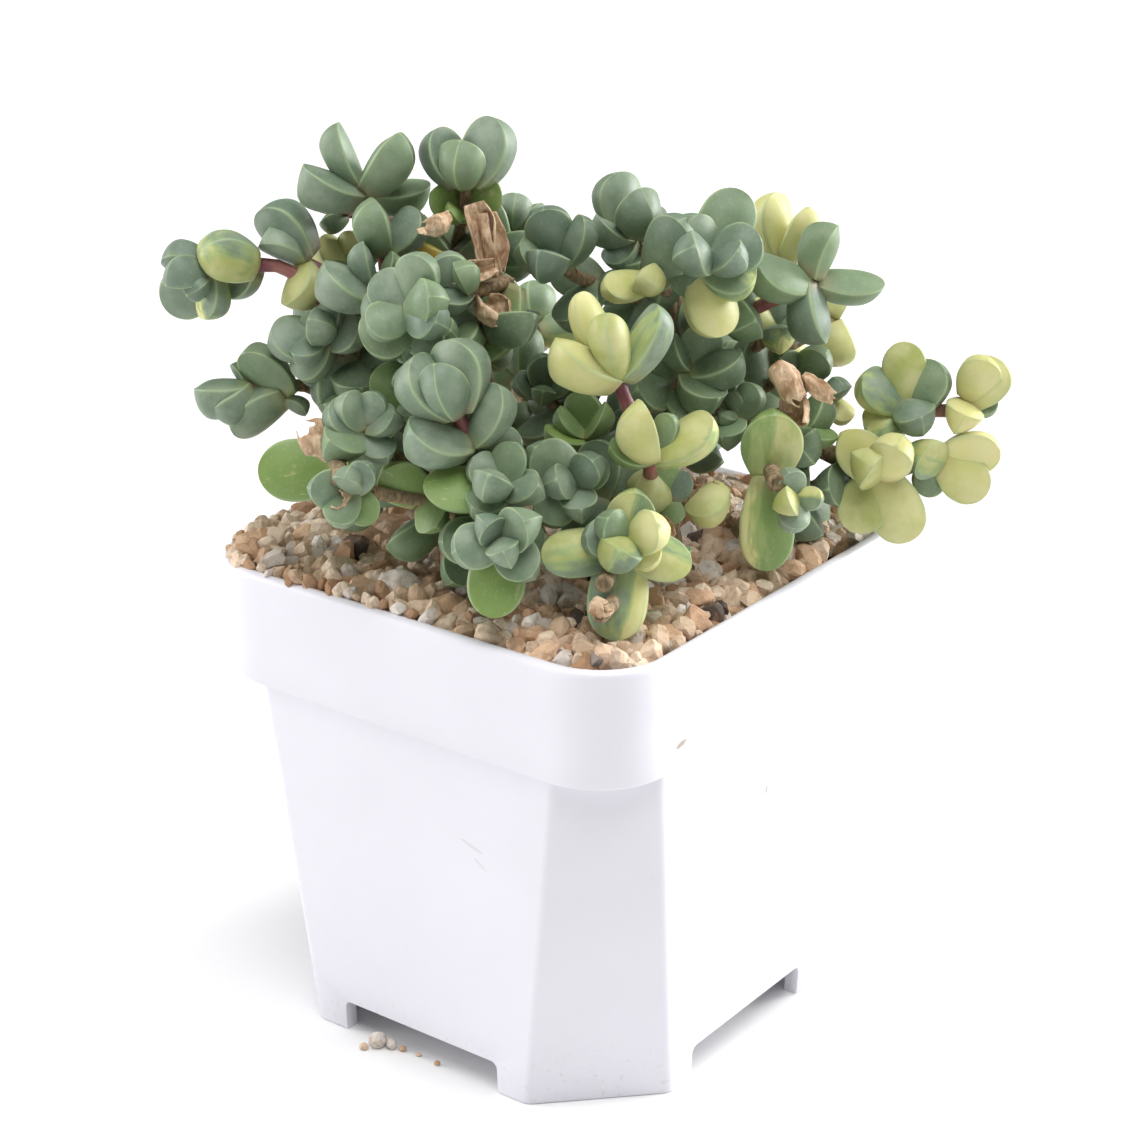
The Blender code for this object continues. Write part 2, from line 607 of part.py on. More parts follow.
def tube(path, start_radius, end_radius, sides=STEM_SIDES):
    """A round bar along the path, with flat ends."""
    rings = []
    side = (path[1] - path[0]).orthogonal().normalized()
    for k, p in enumerate(path):
        before, after = path[max(k - 1, 0)], path[min(k + 1, len(path) - 1)]
        along = (after - before).normalized()
        side = (side - side.dot(along) * along).normalized()
        other = along.cross(side)
        radius = start_radius + (end_radius - start_radius) * k / (len(path) - 1)
        turns = [2 * math.pi * i / sides for i in range(sides)]
        rings.append([p + radius * (side * math.cos(a) + other * math.sin(a)) for a in turns])
    return loft(rings)


def whorl_axis(leaves):
    """The way a whorl faces: inner leaves count for more."""
    if len(leaves) == 1:
        return Vector((0, 0, 1))
    total = Vector()
    for k, leaf in enumerate(leaves):
        total += (spot(*leaf[:3])).normalized() * (1 + k)
    return total.normalized()


def twig_path(start, way, core, axis, steps=3):
    """A curve that leaves the trunk its way and comes into the whorl from behind."""
    far = (core - start).length
    a = start + way * far * LEAVING
    b = core - axis * far * ARRIVING
    path = []
    for k in range(steps + 1):
        t = k / steps
        path.append((1 - t) ** 3 * start + 3 * (1 - t) ** 2 * t * a + 3 * (1 - t) * t**2 * b + t**3 * core)
    return path


def fork_point(trunk, core):
    """Where a twig to this whorl leaves the trunk, and which way the trunk runs there."""
    flat = (core.xy - trunk[0].xy).length
    height = max(LOWEST_FORK, min(core.z - FORK_SLOPE * flat, trunk[-1].z))
    for a, b in zip(trunk, trunk[1:]):
        if b.z >= height:
            break
    share = (height - a.z) / (b.z - a.z)
    return a.lerp(b, min(share, 1.0)), (b - a).normalized()


def stem_runs():
    """For each stem, its runs as (path, start radius, end radius), and for each shoot, its first twig's path."""
    trunks = {name: smooth_path([spot(*p) for p in points], 3) for name, points in TRUNKS.items()}
    runs = {name: [(path, TRUNK_RADIUS, TWIG_RADIUS)] for name, path in trunks.items()}
    twigs = {}
    for name, (stem, after, whorls) in SHOOTS.items():
        for index, (centre, leaves) in enumerate(whorls):
            core, axis = spot(*centre), whorl_axis(leaves)
            if index:
                start = spot(*whorls[index - 1][0])
                way = (core - start).normalized()
            elif after:
                start = spot(*SHOOTS[after][2][-1][0])
                way = (core - start).normalized()
            else:
                start, way = fork_point(trunks[stem], core)
            path = twig_path(start, way, core + axis * SOCKET, axis)
            runs[stem].append((path, FORK_RADIUS, TWIG_RADIUS))
            twigs.setdefault(name, path)
    return runs, twigs


def make_stem(name, runs, look, extra=0.0):
    """One rooted stem and all its twigs as a single solid, grown by extra all round for a cutter."""
    pieces = []
    for k, (path, start, end) in enumerate(runs):
        if extra:
            path = [*path[:-1], path[-1] + (path[-1] - path[-2]).normalized() * extra]
        pieces.append(add_object(f"{name}_run_{k}", tube(path, start + extra, end + extra)))
    whole = pieces[0]
    boolean(whole, pieces[1:], "UNION")
    remove(pieces[1:])
    if look:
        simplify(whole, RUN_FACES * len(pieces))
        whole.data.materials.clear()
        whole.data.materials.append(look)
    whole.name = name
    whole.data.name = name
    return whole


# ---- leaves ----


def leaf_rings(base, tip, axis, breadth, size=1.0, extra=0.0):
    """Rings of a three-sided leaf: two margins, a keel on the outer side, and a nearly flat inner face."""
    reach = (tip - base) * size
    length = reach.length
    along = reach.normalized()
    inner = (axis - axis.dot(along) * along)
    if inner.length < 0.05:
        inner = along.orthogonal()
    inner.normalize()
    side = along.cross(inner)
    wide = breadth * size / 2 + extra
    rings = []
    for place, share, keel in LEAF_RINGS:
        bow = -inner * length * BOW * place * (1 - place)
        centre = base + along * length * place + bow
        half = wide * share
        depth = 2 * wide * KEEL_DEPTH * keel
        rings.append([
            centre + side * half,
            centre - side * half,
            centre - side * half * FLANK_OUT - inner * depth * FLANK_DOWN,
            centre - inner * depth,
            centre + side * half * FLANK_OUT - inner * depth * FLANK_DOWN,
        ])
    return rings, base + along * (length + extra)


def leaf_breadth(leaf, length):
    return leaf[4] * MM if len(leaf) > 4 else BREADTH * length


def bounds_of(points):
    return [min(p[i] for p in points) for i in range(3)], [max(p[i] for p in points) for i in range(3)]


def apart(a, b):
    return any(a[0][i] > b[1][i] or b[0][i] > a[1][i] for i in range(3))


def has_room(room, obstacles):
    """Whether a shape, as its box and tree, is clear of all the others."""
    box, tree = room
    return not any(not apart(box, other) and tree.overlap(hit) for other, hit in obstacles)


def rooms_of_others(taken, name, stem):
    """What a shoot has to keep clear of: everything but itself and its own stem."""
    return [room for key, rooms in taken.items() if key not in (name, stem) for room in rooms]


def grow_leaf(name, base, tip, axis, breadth, obstacles):
    """The largest leaf that is clear of its neighbours, or None where there is no room."""
    size = 1.0
    while size > SMALLEST_LEAF:
        room = room_taken(loft(*leaf_rings(base, tip, axis, breadth, size, GAP)))
        if has_room(room, obstacles):
            return add_object(name, loft(*leaf_rings(base, tip, axis, breadth, size))), room
        size -= SIZE_STEP
    return None


def hearts(whorls, extra=0.0):
    """Where a shoot's leaves join: a ball for each whorl, and a sheath between one whorl and the next."""
    shapes = []
    last = None
    for centre, leaves in whorls:
        core, axis = spot(*centre), whorl_axis(leaves)
        bm = bmesh.new()
        bmesh.ops.create_icosphere(bm, subdivisions=1, radius=CORE_RADIUS + extra)
        bmesh.ops.translate(bm, vec=core, verts=bm.verts)
        shapes.append(bm)
        if last is not None:
            path = twig_path(last, (core - last).normalized(), core + axis * SOCKET, axis)
            shapes.append(tube(path, SHEATH_RADIUS + extra, SHEATH_RADIUS + extra))
        last = core
    return shapes


def main_colour(whorls):
    """The colour letter that most of a shoot's leaves have."""
    letters = [leaf[3] if len(leaf) > 3 else "g" for _centre, leaves in whorls for leaf in leaves]
    return max(LEAF_COLOURS, key=letters.count)


def grow_whorls(name, whorls, obstacles):
    """A shoot's hearts and every leaf of its whorls that has room."""
    pieces, solid = [add_object(f"{name}_heart", bm) for bm in hearts(whorls)], []
    for centre, leaves in whorls:
        core, axis = spot(*centre), whorl_axis(leaves)
        for k, leaf in enumerate(leaves):
            base = core + axis * WHORL_STEP * (k // 2)
            tip = core + spot(*leaf[:3])
            grown = grow_leaf(f"{name}_{k}", base, tip, axis, leaf_breadth(leaf, (tip - base).length), obstacles)
            if grown:
                pieces.append(grown[0])
                solid.append(grown[1])
            else:
                print("no room for", name, k)
    return pieces, solid


def grow_older_leaves(name, path, obstacles):
    """Crossed pairs of older leaves lower down on a shoot's twig, on a sheath that joins them to the whorl."""
    for lowest in range(1, len(path) - 1):
        room = room_taken(tube(path[lowest:], SHEATH_RADIUS + GAP, SHEATH_RADIUS + GAP))
        if (path[lowest + 1] - path[lowest]).length > OLDER_SPACING and has_room(room, obstacles):
            break
    else:
        return [], []
    pieces = [add_object(f"{name}_sheath", tube(path[lowest:], SHEATH_RADIUS, SHEATH_RADIUS))]
    solid = [room]
    for k in range(lowest, len(path) - 1):
        along = (path[k + 1] - path[k]).normalized()
        across = along.cross(Vector((0, 0, 1))).normalized()
        if k % 2:
            across = (across + along.cross(across)).normalized()
        other = along.cross(across)
        for step, way in enumerate((across, -across, other, -other)):
            foot = path[k] + along * WHORL_STEP * (step // 2)
            base = foot - way * OLDER_OVERLAP
            tip = foot + (way + along * OLDER_LEAN) * OLDER_REACH
            grown = grow_leaf(f"{name}_older_{k}_{step}", base, tip, along, BREADTH * OLDER_REACH, obstacles)
            if grown:
                pieces.append(grown[0])
                solid.append(grown[1])
    return pieces, solid


def join_shoot(name, pieces, cutter, look):
    """All leaves of a shoot, joined at their bases round the stem, cut clear of it."""
    whole = pieces[0]
    boolean(whole, pieces[1:], "UNION")
    simplify(whole, LEAF_FACES * len(pieces))
    remove(pieces[1:])
    boolean(whole, [cutter], "DIFFERENCE")
    keep_largest_body(whole)
    whole.name = name
    whole.data.name = name
    whole.data.materials.clear()
    whole.data.materials.append(look)
    return whole


def main():
    for made in list(bpy.data.objects):
        bpy.data.objects.remove(made)
    plastic = material("white plastic", (0.86, 0.86, 0.88), 0.38)
    pot = make_pot(plastic)
    mix = make_mix(material("potting mix", (0.12, 0.08, 0.05), 0.95))
    grit = make_grit(material("tan grit", (0.58, 0.42, 0.28), 0.9))
    bark = material("stem bark", (0.42, 0.30, 0.22), 0.8)
    runs, twigs = stem_runs()
    cutters = {name: make_stem(name + "_cutter", runs[name], None, GAP) for name in runs}
    stems = {name: make_stem(name, runs[name], bark) for name in runs}
    boolean(grit, list(cutters.values()), "DIFFERENCE")
    boolean(mix, list(cutters.values()), "DIFFERENCE")
    looks = {key: material(f"leaf {key}", colour, 0.5) for key, colour in LEAF_COLOURS.items()}
    taken = {name: [room_of(made)] for name, made in [("pot", pot), ("grit", grit), *cutters.items()]}
    for name, (_stem, _after, whorls) in SHOOTS.items():
        taken[name] = [room_taken(bm) for bm in hearts(whorls, GAP)]
    pieces = {}
    for name, (stem, _after, whorls) in SHOOTS.items():
        pieces[name], solid = grow_whorls(name, whorls, rooms_of_others(taken, name, stem))
        taken[name] += solid
    for name, (stem, after, _whorls) in SHOOTS.items():
        if after is None and name not in BARE_TWIGS:
            older, solid = grow_older_leaves(name, twigs[name], rooms_of_others(taken, name, stem))
            pieces[name] += older
            taken[name] += solid
    shoots = []
    for name, (stem, _after, whorls) in SHOOTS.items():
        shoots.append(join_shoot(name, pieces[name], cutters[stem], looks[main_colour(whorls)]))
    remove(list(cutters.values()))
    pieces = [pot, mix, grit, *stems.values(), *shoots]
    low, high = bounds_of([v.co for made in pieces for v in made.data.vertices])
    stand = bpy.data.objects.new("stand", None)
    bpy.context.scene.collection.objects.link(stand)
    stand.location = (-(low[0] + high[0]) / 2, -(low[1] + high[1]) / 2, -low[2])
    for made in pieces:
        made.parent = stand
    print("stand at", [round(x * 1000, 2) for x in stand.location], "mm;", len(pieces), "pieces")


main()
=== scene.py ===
# A bushy variegated succulent in a square white nursery pot.
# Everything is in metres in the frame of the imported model, +Z up.

import json
import math
import random

import bmesh
import bpy
from mathutils import Matrix, Vector, noise
from mathutils.bvhtree import BVHTree


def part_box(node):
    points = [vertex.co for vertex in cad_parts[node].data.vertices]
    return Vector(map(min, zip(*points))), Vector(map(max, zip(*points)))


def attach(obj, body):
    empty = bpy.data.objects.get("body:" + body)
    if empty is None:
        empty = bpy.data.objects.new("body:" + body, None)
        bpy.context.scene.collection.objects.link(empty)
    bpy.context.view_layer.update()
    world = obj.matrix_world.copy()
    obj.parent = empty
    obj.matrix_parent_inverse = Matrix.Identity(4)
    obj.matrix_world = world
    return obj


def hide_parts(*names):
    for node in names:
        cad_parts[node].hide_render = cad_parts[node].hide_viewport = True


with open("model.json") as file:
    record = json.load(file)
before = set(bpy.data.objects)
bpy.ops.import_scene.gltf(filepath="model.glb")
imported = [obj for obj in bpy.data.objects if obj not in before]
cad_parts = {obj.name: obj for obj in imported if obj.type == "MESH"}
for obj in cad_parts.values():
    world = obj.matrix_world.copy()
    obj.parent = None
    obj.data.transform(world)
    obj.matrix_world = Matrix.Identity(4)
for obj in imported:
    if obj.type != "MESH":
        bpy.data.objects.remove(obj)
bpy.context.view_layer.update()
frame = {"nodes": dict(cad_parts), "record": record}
mm = 0.001

potLow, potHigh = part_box("pot")
potCentre = Vector(((potLow[0] + potHigh[0]) / 2, (potLow[1] + potHigh[1]) / 2, potLow[2]))
rimHalf = (potHigh[0] - potLow[0]) / 2
potHeight = potHigh[2] - potLow[2]
bestSide = math.radians(36.7)  # turn of the plant's best side, from the -Y wall towards the +X wall


def spot(across, toward, up):
    # millimetres seen from the best side, as a vector in metres
    c, s = math.cos(bestSide), math.sin(bestSide)
    return Vector((across * c + toward * s, across * s - toward * c, up)) * mm


def place(across, toward, up):
    # the same, counted from the middle of the pot's foot
    return potCentre + spot(across, toward, up)


class Wire:
    # a socket that can be added, multiplied and so on, each step adding a Math node
    def __init__(self, look, socket):
        self.look = look
        self.socket = socket

    def math(self, operation, *others):
        values = [self, *others]
        return self.look.node("ShaderNodeMath", {"operation": operation}, dict(enumerate(values)))

    def __add__(self, other):
        return self.math("ADD", other)

    __radd__ = __add__

    def __mul__(self, other):
        return self.math("MULTIPLY", other)

    __rmul__ = __mul__

    def __sub__(self, other):
        return self.math("SUBTRACT", other)

    def __rsub__(self, other):
        return self.look.node("ShaderNodeMath", {"operation": "SUBTRACT"}, {0: other, 1: self})

    def __truediv__(self, other):
        return self.math("DIVIDE", other)

    def rise(self, low, high):
        # 0 below low, 1 above high, smooth between
        inputs = {"Value": self, "From Min": low, "From Max": high}
        return self.look.node("ShaderNodeMapRange", {"interpolation_type": "SMOOTHSTEP"}, inputs)


class Look:
    # a material and the nodes that go into it
    def __init__(self, name):
        self.material = bpy.data.materials.new(name)
        self.material.use_nodes = True
        self.tree = self.material.node_tree
        self.shader = self.tree.nodes["Principled BSDF"]

    def node(self, kind, settings=None, inputs=None, output=0):
        made = self.tree.nodes.new(kind)
        for key, value in (settings or {}).items():
            setattr(made, key, value)
        for key, value in (inputs or {}).items():
            self.feed(made, key, value)
        return Wire(self, made.outputs[output])

    def feed(self, made, key, value):
        if isinstance(value, Wire):
            self.tree.links.new(value.socket, made.inputs[key])
        else:
            made.inputs[key].default_value = value

    def set(self, **values):
        # sockets of the shader itself, with _ for the space in their names
        for key, value in values.items():
            self.feed(self.shader, key.replace("_", " "), value)

    def where(self):
        return self.node("ShaderNodeTexCoord", output="Object")

    def parts(self, vector):
        made = self.tree.nodes.new("ShaderNodeSeparateXYZ")
        self.feed(made, 0, vector)
        return [Wire(self, socket) for socket in made.outputs]

    def vector(self, operation, a, b=None, scale=None):
        inputs = {0: a}
        if b is not None:
            inputs[1] = b
        if scale is not None:
            inputs["Scale"] = scale
        return self.node("ShaderNodeVectorMath", {"operation": operation}, inputs)

    def attribute(self, name, output="Fac"):
        return self.node("ShaderNodeAttribute", {"attribute_name": name}, output=output)

    def speckle(self, vector, scale, detail=3.0, rough=0.55):
        inputs = {"Vector": vector, "Scale": scale, "Detail": detail, "Roughness": rough}
        return self.node("ShaderNodeTexNoise", None, inputs)

    def cells(self, vector, scale):
        return self.node("ShaderNodeTexVoronoi", None, {"Vector": vector, "Scale": scale}, "Distance")

    def mix(self, share, a, b):
        # colours blended by share
        if not isinstance(a, Wire):
            a = (*a, 1)
        if not isinstance(b, Wire):
            b = (*b, 1)
        return self.node("ShaderNodeMix", {"data_type": "RGBA"}, {0: share, 6: a, 7: b}, output=2)

    def bump(self, height, depth, strength):
        inputs = {"Height": height, "Distance": depth, "Strength": strength}
        return self.node("ShaderNodeBump", None, inputs)


class Recipe:
    # a Geometry Nodes tree, built step by step
    def __init__(self, name, inputs):
        self.tree = bpy.data.node_groups.new(name, "GeometryNodeTree")
        self.tree.interface.new_socket("Geometry", in_out="INPUT", socket_type="NodeSocketGeometry")
        self.tree.interface.new_socket("Geometry", in_out="OUTPUT", socket_type="NodeSocketGeometry")
        self.keys = {}
        for label, (kind, value) in inputs.items():
            kind = "NodeSocket" + kind
            socket = self.tree.interface.new_socket(label, in_out="INPUT", socket_type=kind)
            if value is not None:
                socket.default_value = value
            self.keys[label] = socket.identifier
        self.start = self.tree.nodes.new("NodeGroupInput")
        self.end = self.tree.nodes.new("NodeGroupOutput")

    def given(self, label):
        return self.start.outputs[label]

    def node(self, kind, settings=None, inputs=None, output=0):
        made = self.tree.nodes.new(kind)
        for key, value in (settings or {}).items():
            setattr(made, key, value)
        for key, value in (inputs or {}).items():
            socket = made.inputs[key]
            if isinstance(value, bpy.types.NodeSocket):
                self.tree.links.new(value, socket)
            else:
                socket.default_value = value
        return made.outputs[output]

    def named(self, name, kind="FLOAT"):
        return self.node("GeometryNodeInputNamedAttribute", {"data_type": kind}, {"Name": name})

    def finish(self, geometry, material):
        whole = self.node("GeometryNodeRealizeInstances", None, {0: geometry})
        whole = self.node("GeometryNodeSetMaterial", None, {"Geometry": whole, "Material": material})
        self.tree.links.new(whole, self.end.inputs[0])

    def make(self, source, name, values):
        # runs the tree on the source object and keeps the result as a plain mesh in a new object
        step = source.modifiers.new("recipe", "NODES")
        step.node_group = self.tree
        for label, value in values.items():
            step[self.keys[label]] = value
        mesh = evaluatedMesh(source)
        mesh.name = name
        bpy.data.objects.remove(source)
        return shown(name, mesh)


def shown(name, mesh):
    made = bpy.data.objects.new(name, mesh)
    bpy.context.scene.collection.objects.link(made)
    return made


def meshOf(name, bm):
    mesh = bpy.data.meshes.new(name)
    bm.to_mesh(mesh)
    bm.free()
    return mesh


def keep(piece, slotName, *nodes):
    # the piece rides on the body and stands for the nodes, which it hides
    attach(piece, "root")
    if nodes:
        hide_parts(*nodes)
    return piece


def evaluatedMesh(made):
    bpy.context.view_layer.update()
    state = made.evaluated_get(bpy.context.evaluated_depsgraph_get())
    return bpy.data.meshes.new_from_object(state)


def withModifiers(made):
    # bakes the object's modifiers into its mesh
    mesh = evaluatedMesh(made)
    made.modifiers.clear()
    made.data = mesh


def loft(rings, tip=None):
    # a closed shape through rings of points, all with the same count
    bm = bmesh.new()
    verts = [[bm.verts.new(p) for p in ring] for ring in rings]
    for lower, upper in zip(verts, verts[1:]):
        for i in range(len(lower)):
            j = (i + 1) % len(lower)
            bm.faces.new((lower[i], lower[j], upper[j], upper[i]))
    bm.faces.new(verts[0][::-1])
    if tip is None:
        bm.faces.new(verts[-1])
    else:
        end = bm.verts.new(tip)
        for a, b in zip(verts[-1], verts[-1][1:] + verts[-1][:1]):
            bm.faces.new((a, b, end))
    bmesh.ops.recalc_face_normals(bm, faces=bm.faces)
    return bm


pot = {
    "rimFootHalf": 39.2 * mm,
    "rimHeight": 18.5 * mm,
    "rimCorner": 12.0 * mm,
    "lip": 2.2 * mm,
    "bodyTopHalf": 38.3 * mm,
    "bodyTopCut": 11.0 * mm,
    "baseHalf": 36.0 * mm,
    "baseCut": 15.5 * mm,
    "wall": 1.7 * mm,
    "footWall": 2.4 * mm,
    "notchHalf": 15.0 * mm,
    "notchHeight": 5.4 * mm,
    "floor": 1.6 * mm,
    "drainRadius": 3.0 * mm,
    "drainRing": 17.0 * mm,
    "cornerSoftness": 2.2 * mm,
    "edge": 0.35 * mm,
    "softEdge": 0.18 * mm,
    "notchCorner": 1.1 * mm,
}


def squareRing(half, height, cut=None, radius=None):
    # ten points for each corner: an arc, or a straight cut with rounded ends
    corner = []
    if radius is not None:
        for k in range(10):
            a = k * math.pi / 18
            corner.append((half - radius + radius * math.cos(a), half - radius + radius * math.sin(a)))
    else:
        soft = pot["cornerSoftness"]
        turn = math.pi / 4
        bends = [((half, half - cut), 0.0, turn), ((half - cut, half), turn, 2 * turn)]
        for (x, y), start, end in bends:
            trim = soft * math.tan((end - start) / 2)
            first = start == 0.0
            inX, inY = (0, 1) if first else (-math.sin(start), math.cos(start))
            cx = x - inX * trim - soft * math.cos(start)
            cy = y - inY * trim - soft * math.sin(start)
            for k in range(5):
                a = start + (end - start) * k / 4
                corner.append((cx + soft * math.cos(a), cy + soft * math.sin(a)))
    ring = []
    for quarter in range(4):
        c, s = math.cos(quarter * math.pi / 2), math.sin(quarter * math.pi / 2)
        ring += [Vector((x * c - y * s, x * s + y * c, height)) + potCentre for x, y in corner]
    return ring


def bodyRing(height, inset=0.0):
    share = max(0.0, height) / (potHeight - pot["rimHeight"])
    half = pot["baseHalf"] + (pot["bodyTopHalf"] - pot["baseHalf"]) * share
    cut = pot["baseCut"] + (pot["bodyTopCut"] - pot["baseCut"]) * share
    return squareRing(half - inset, height, cut=cut - 0.59 * inset)


def rimRing(height, inset=0.0):
    share = max(0.0, (height - potHeight + pot["rimHeight"]) / pot["rimHeight"])
    half = pot["rimFootHalf"] + (rimHalf - pot["rimFootHalf"]) * share
    return squareRing(half - inset, height, radius=pot["rimCorner"] - inset)


def makePot(material):
    band = potHeight - pot["rimHeight"]
    edge, lip, notch = pot["edge"], pot["lip"], pot["notchHeight"]
    rings = [bodyRing(0.0, edge), bodyRing(0.4 * edge, 0.3 * edge), bodyRing(1.6 * edge)]
    rings += [bodyRing(band * k / 6) for k in range(1, 6)]
    rings += [bodyRing(band - 2.2 * edge), bodyRing(band - 0.6 * edge), rimRing(band, 1.4 * edge)]
    rings += [rimRing(band + 0.1 * edge, 0.5 * edge), rimRing(band + edge)]
    rings += [rimRing(band + (pot["rimHeight"] - lip) * k / 4) for k in range(1, 4)]
    for k in range(7):  # the rounded top of the lip
        a = k * math.pi / 6
        rings.append(rimRing(potHeight - lip / 2 + lip / 2 * math.sin(a), lip / 2 * (1 - math.cos(a))))
    rings += [rimRing(band + 3 * mm, lip), bodyRing(band - 2 * mm, pot["wall"])]
    inside = notch + pot["floor"]
    rings += [bodyRing(inside + edge, pot["wall"]), bodyRing(inside, pot["wall"] + edge)]
    body = shown("white_pot", meshOf("white_pot", loft(rings)))
    under = [bodyRing(-mm, pot["footWall"]), bodyRing(notch - edge, pot["footWall"])]
    under.append(bodyRing(notch, pot["footWall"] + edge))
    cutters = [shown("underCut", meshOf("underCut", loft(under)))]
    for turn in (0, 1):
        outline = []
        half, soft = pot["notchHalf"], pot["notchCorner"]
        for side in (1, -1):
            for k in range(5):
                a = k * math.pi / 8
                x, z = half - soft * (1 - math.cos(a)), notch - soft * (1 - math.sin(a))
                outline.append((side * x, z, side))
        right = [(x, z) for x, z, side in outline if side > 0]
        left = [(x, z) for x, z, side in outline if side < 0][::-1]
        outline = [(half, -mm), *right, *left, (-half, -mm)]
        rings = []
        for along in (-1.1 * rimHalf, 1.1 * rimHalf):
            flat = [Vector((x, along, z)) if turn else Vector((along, x, z)) for x, z in outline]
            rings.append([p + potCentre for p in flat])
        cutters.append(shown(f"notchCut{turn}", meshOf("notchCut", loft(rings))))
    for index in range(5):
        angle = index * math.pi / 2
        ring = pot["drainRing"] if index < 4 else 0.0
        rings = []
        for z in (notch - mm, notch + pot["floor"] + mm):
            circle = [2 * math.pi * k / 32 for k in range(32)]
            centre = potCentre + Vector((ring * math.cos(angle), ring * math.sin(angle), z))
            rings.append([centre + pot["drainRadius"] * Vector((math.cos(a), math.sin(a), 0))
                          for a in circle])
        cutters.append(shown(f"drainCut{index}", meshOf("drainCut", loft(rings))))
    for cutter in cutters:
        step = body.modifiers.new("cut", "BOOLEAN")
        step.operation = "DIFFERENCE"
        step.object = cutter
    withModifiers(body)
    for cutter in cutters:
        bpy.data.objects.remove(cutter)
    step = body.modifiers.new("soft edges", "BEVEL")
    step.width = pot["softEdge"]
    step.segments = 2
    step.limit_method = "ANGLE"
    step.angle_limit = math.radians(50)
    withModifiers(body)
    body.data.materials.clear()
    body.data.materials.append(material)
    body.data.shade_smooth()
    body.data.set_sharp_from_angle(angle=math.radians(32))
    return keep(body, "pot_plastic", "pot")


# small marks on the walls: which wall, along and height in mm, half length and half width in mm
potMarks = [
    {"wall": "x", "along": -24.0, "height": 61.3, "long": 1.6, "wide": 0.55, "tilt": 10,
     "strength": 0.75, "colour": (0.30, 0.20, 0.13)},
    {"wall": "x", "along": 1.4, "height": 43.1, "long": 0.9, "wide": 0.28, "tilt": 75,
     "strength": 0.7, "colour": (0.20, 0.17, 0.15)},
    {"wall": "x", "along": -24.0, "height": 33.7, "long": 1.7, "wide": 0.28, "tilt": 5, "curl": 500,
     "strength": 0.3, "colour": (0.42, 0.40, 0.40)},
    {"wall": "y", "along": 12.0, "height": 42.0, "long": 2.6, "wide": 0.35, "tilt": -18,
     "strength": 0.30, "colour": (0.45, 0.42, 0.40)},
    {"wall": "y", "along": 13.5, "height": 39.4, "long": 1.7, "wide": 0.30, "tilt": -35,
     "strength": 0.28, "colour": (0.48, 0.45, 0.44)},
]


def plasticLook():
    look = Look("white plastic")
    where = look.where()
    x, y, z = look.parts(look.vector("SUBTRACT", where, tuple(potCentre)))
    cloud = look.speckle(where, 45.0, 4.0)
    grain = look.speckle(where, 1900.0, 2.0)
    upright = look.vector("MULTIPLY", where, (1.0, 1.0, 0.35))
    scuffs = look.speckle(upright, 420.0, 5.0, 0.7).rise(0.64, 0.78)
    low = 1 - z.rise(0.001, 0.014)
    dust = look.speckle(where, 900.0, 6.0, 0.7).rise(0.56, 0.72) * low
    colour = look.mix(cloud, (0.715, 0.705, 0.76), (0.785, 0.775, 0.835))
    colour = look.mix(scuffs * 0.10, colour, (0.52, 0.50, 0.52))
    colour = look.mix(dust * 0.35, colour, (0.30, 0.22, 0.15))
    for mark in potMarks:
        level, flat = mark["height"] * mm, mark["along"] * mm
        side = y if mark["wall"] == "x" else x
        front = x if mark["wall"] == "x" else y * -1
        tilt = math.radians(mark["tilt"])
        u, v = side - flat, z - level
        du = (u * math.cos(tilt) + v * math.sin(tilt)) / (mark["long"] * mm)
        bend = du * du * mark.get("curl", 0) * mm
        dv = (v * math.cos(tilt) - u * math.sin(tilt) + bend) / (mark["wide"] * mm)
        away = (du * du + dv * dv).math("SQRT") + (look.speckle(where, 1500.0) - 0.5) * 0.9
        marked = (1 - away.rise(0.6, 1.0)) * front.rise(0.020, 0.028)
        colour = look.mix(marked * mark["strength"], colour, mark["colour"])
    look.set(Base_Color=colour, Roughness=look.speckle(where, 160.0, 3.0) * 0.10 + 0.30, Metallic=0.0)
    look.set(Normal=look.bump(grain * 0.4 + cloud * 0.2, 0.00006, 0.5))
    look.set(Subsurface_Weight=0.0, Specular_IOR_Level=0.5)
    return look.material


# rooted stems: points of each, in mm across, toward the viewer and up
trunks = {
    "stem_left": [(-19, 4, 52), (-20, 4, 76), (-24, 4, 90), (-30, 4, 104)],
    "stem_upper_left": [(-9, -8, 52), (-9, -8, 76), (-11, -8, 96), (-15, -5, 114)],
    "stem_front_left": [(-13, 20, 52), (-13, 20, 76), (-14, 21, 88), (-16, 20, 104)],
    "stem_right": [(13, -6, 52), (13, -6, 76), (14, -5, 96), (17, -3, 112)],
    "stem_front_right": [(17, 14, 52), (17, 14, 76), (15, 16, 88), (12, 19, 98)],
    "stem_far_right": [(27, 3, 52), (27, 3, 76), (34, 3, 82), (42, 3, 87)],
}

# how young (smooth and red) the twigs of these shoots are, where they aren't old and tan
youngTwigs = {
    "leaves_left_pair": 1.0,
    "leaves_left_tip": 1.0,
    "leaves_left_upper": 0.7,
    "leaves_yellow_fork": 1.0,
    "leaves_yellow_centre": 0.6,
    "leaves_right_cross": 0.9,
    "leaves_upper_left": 0.8,
    "leaves_round_pair": 0.8,
    "leaves_front_upper": 0.6,
    "leaves_branch_tip": 0.5,
}

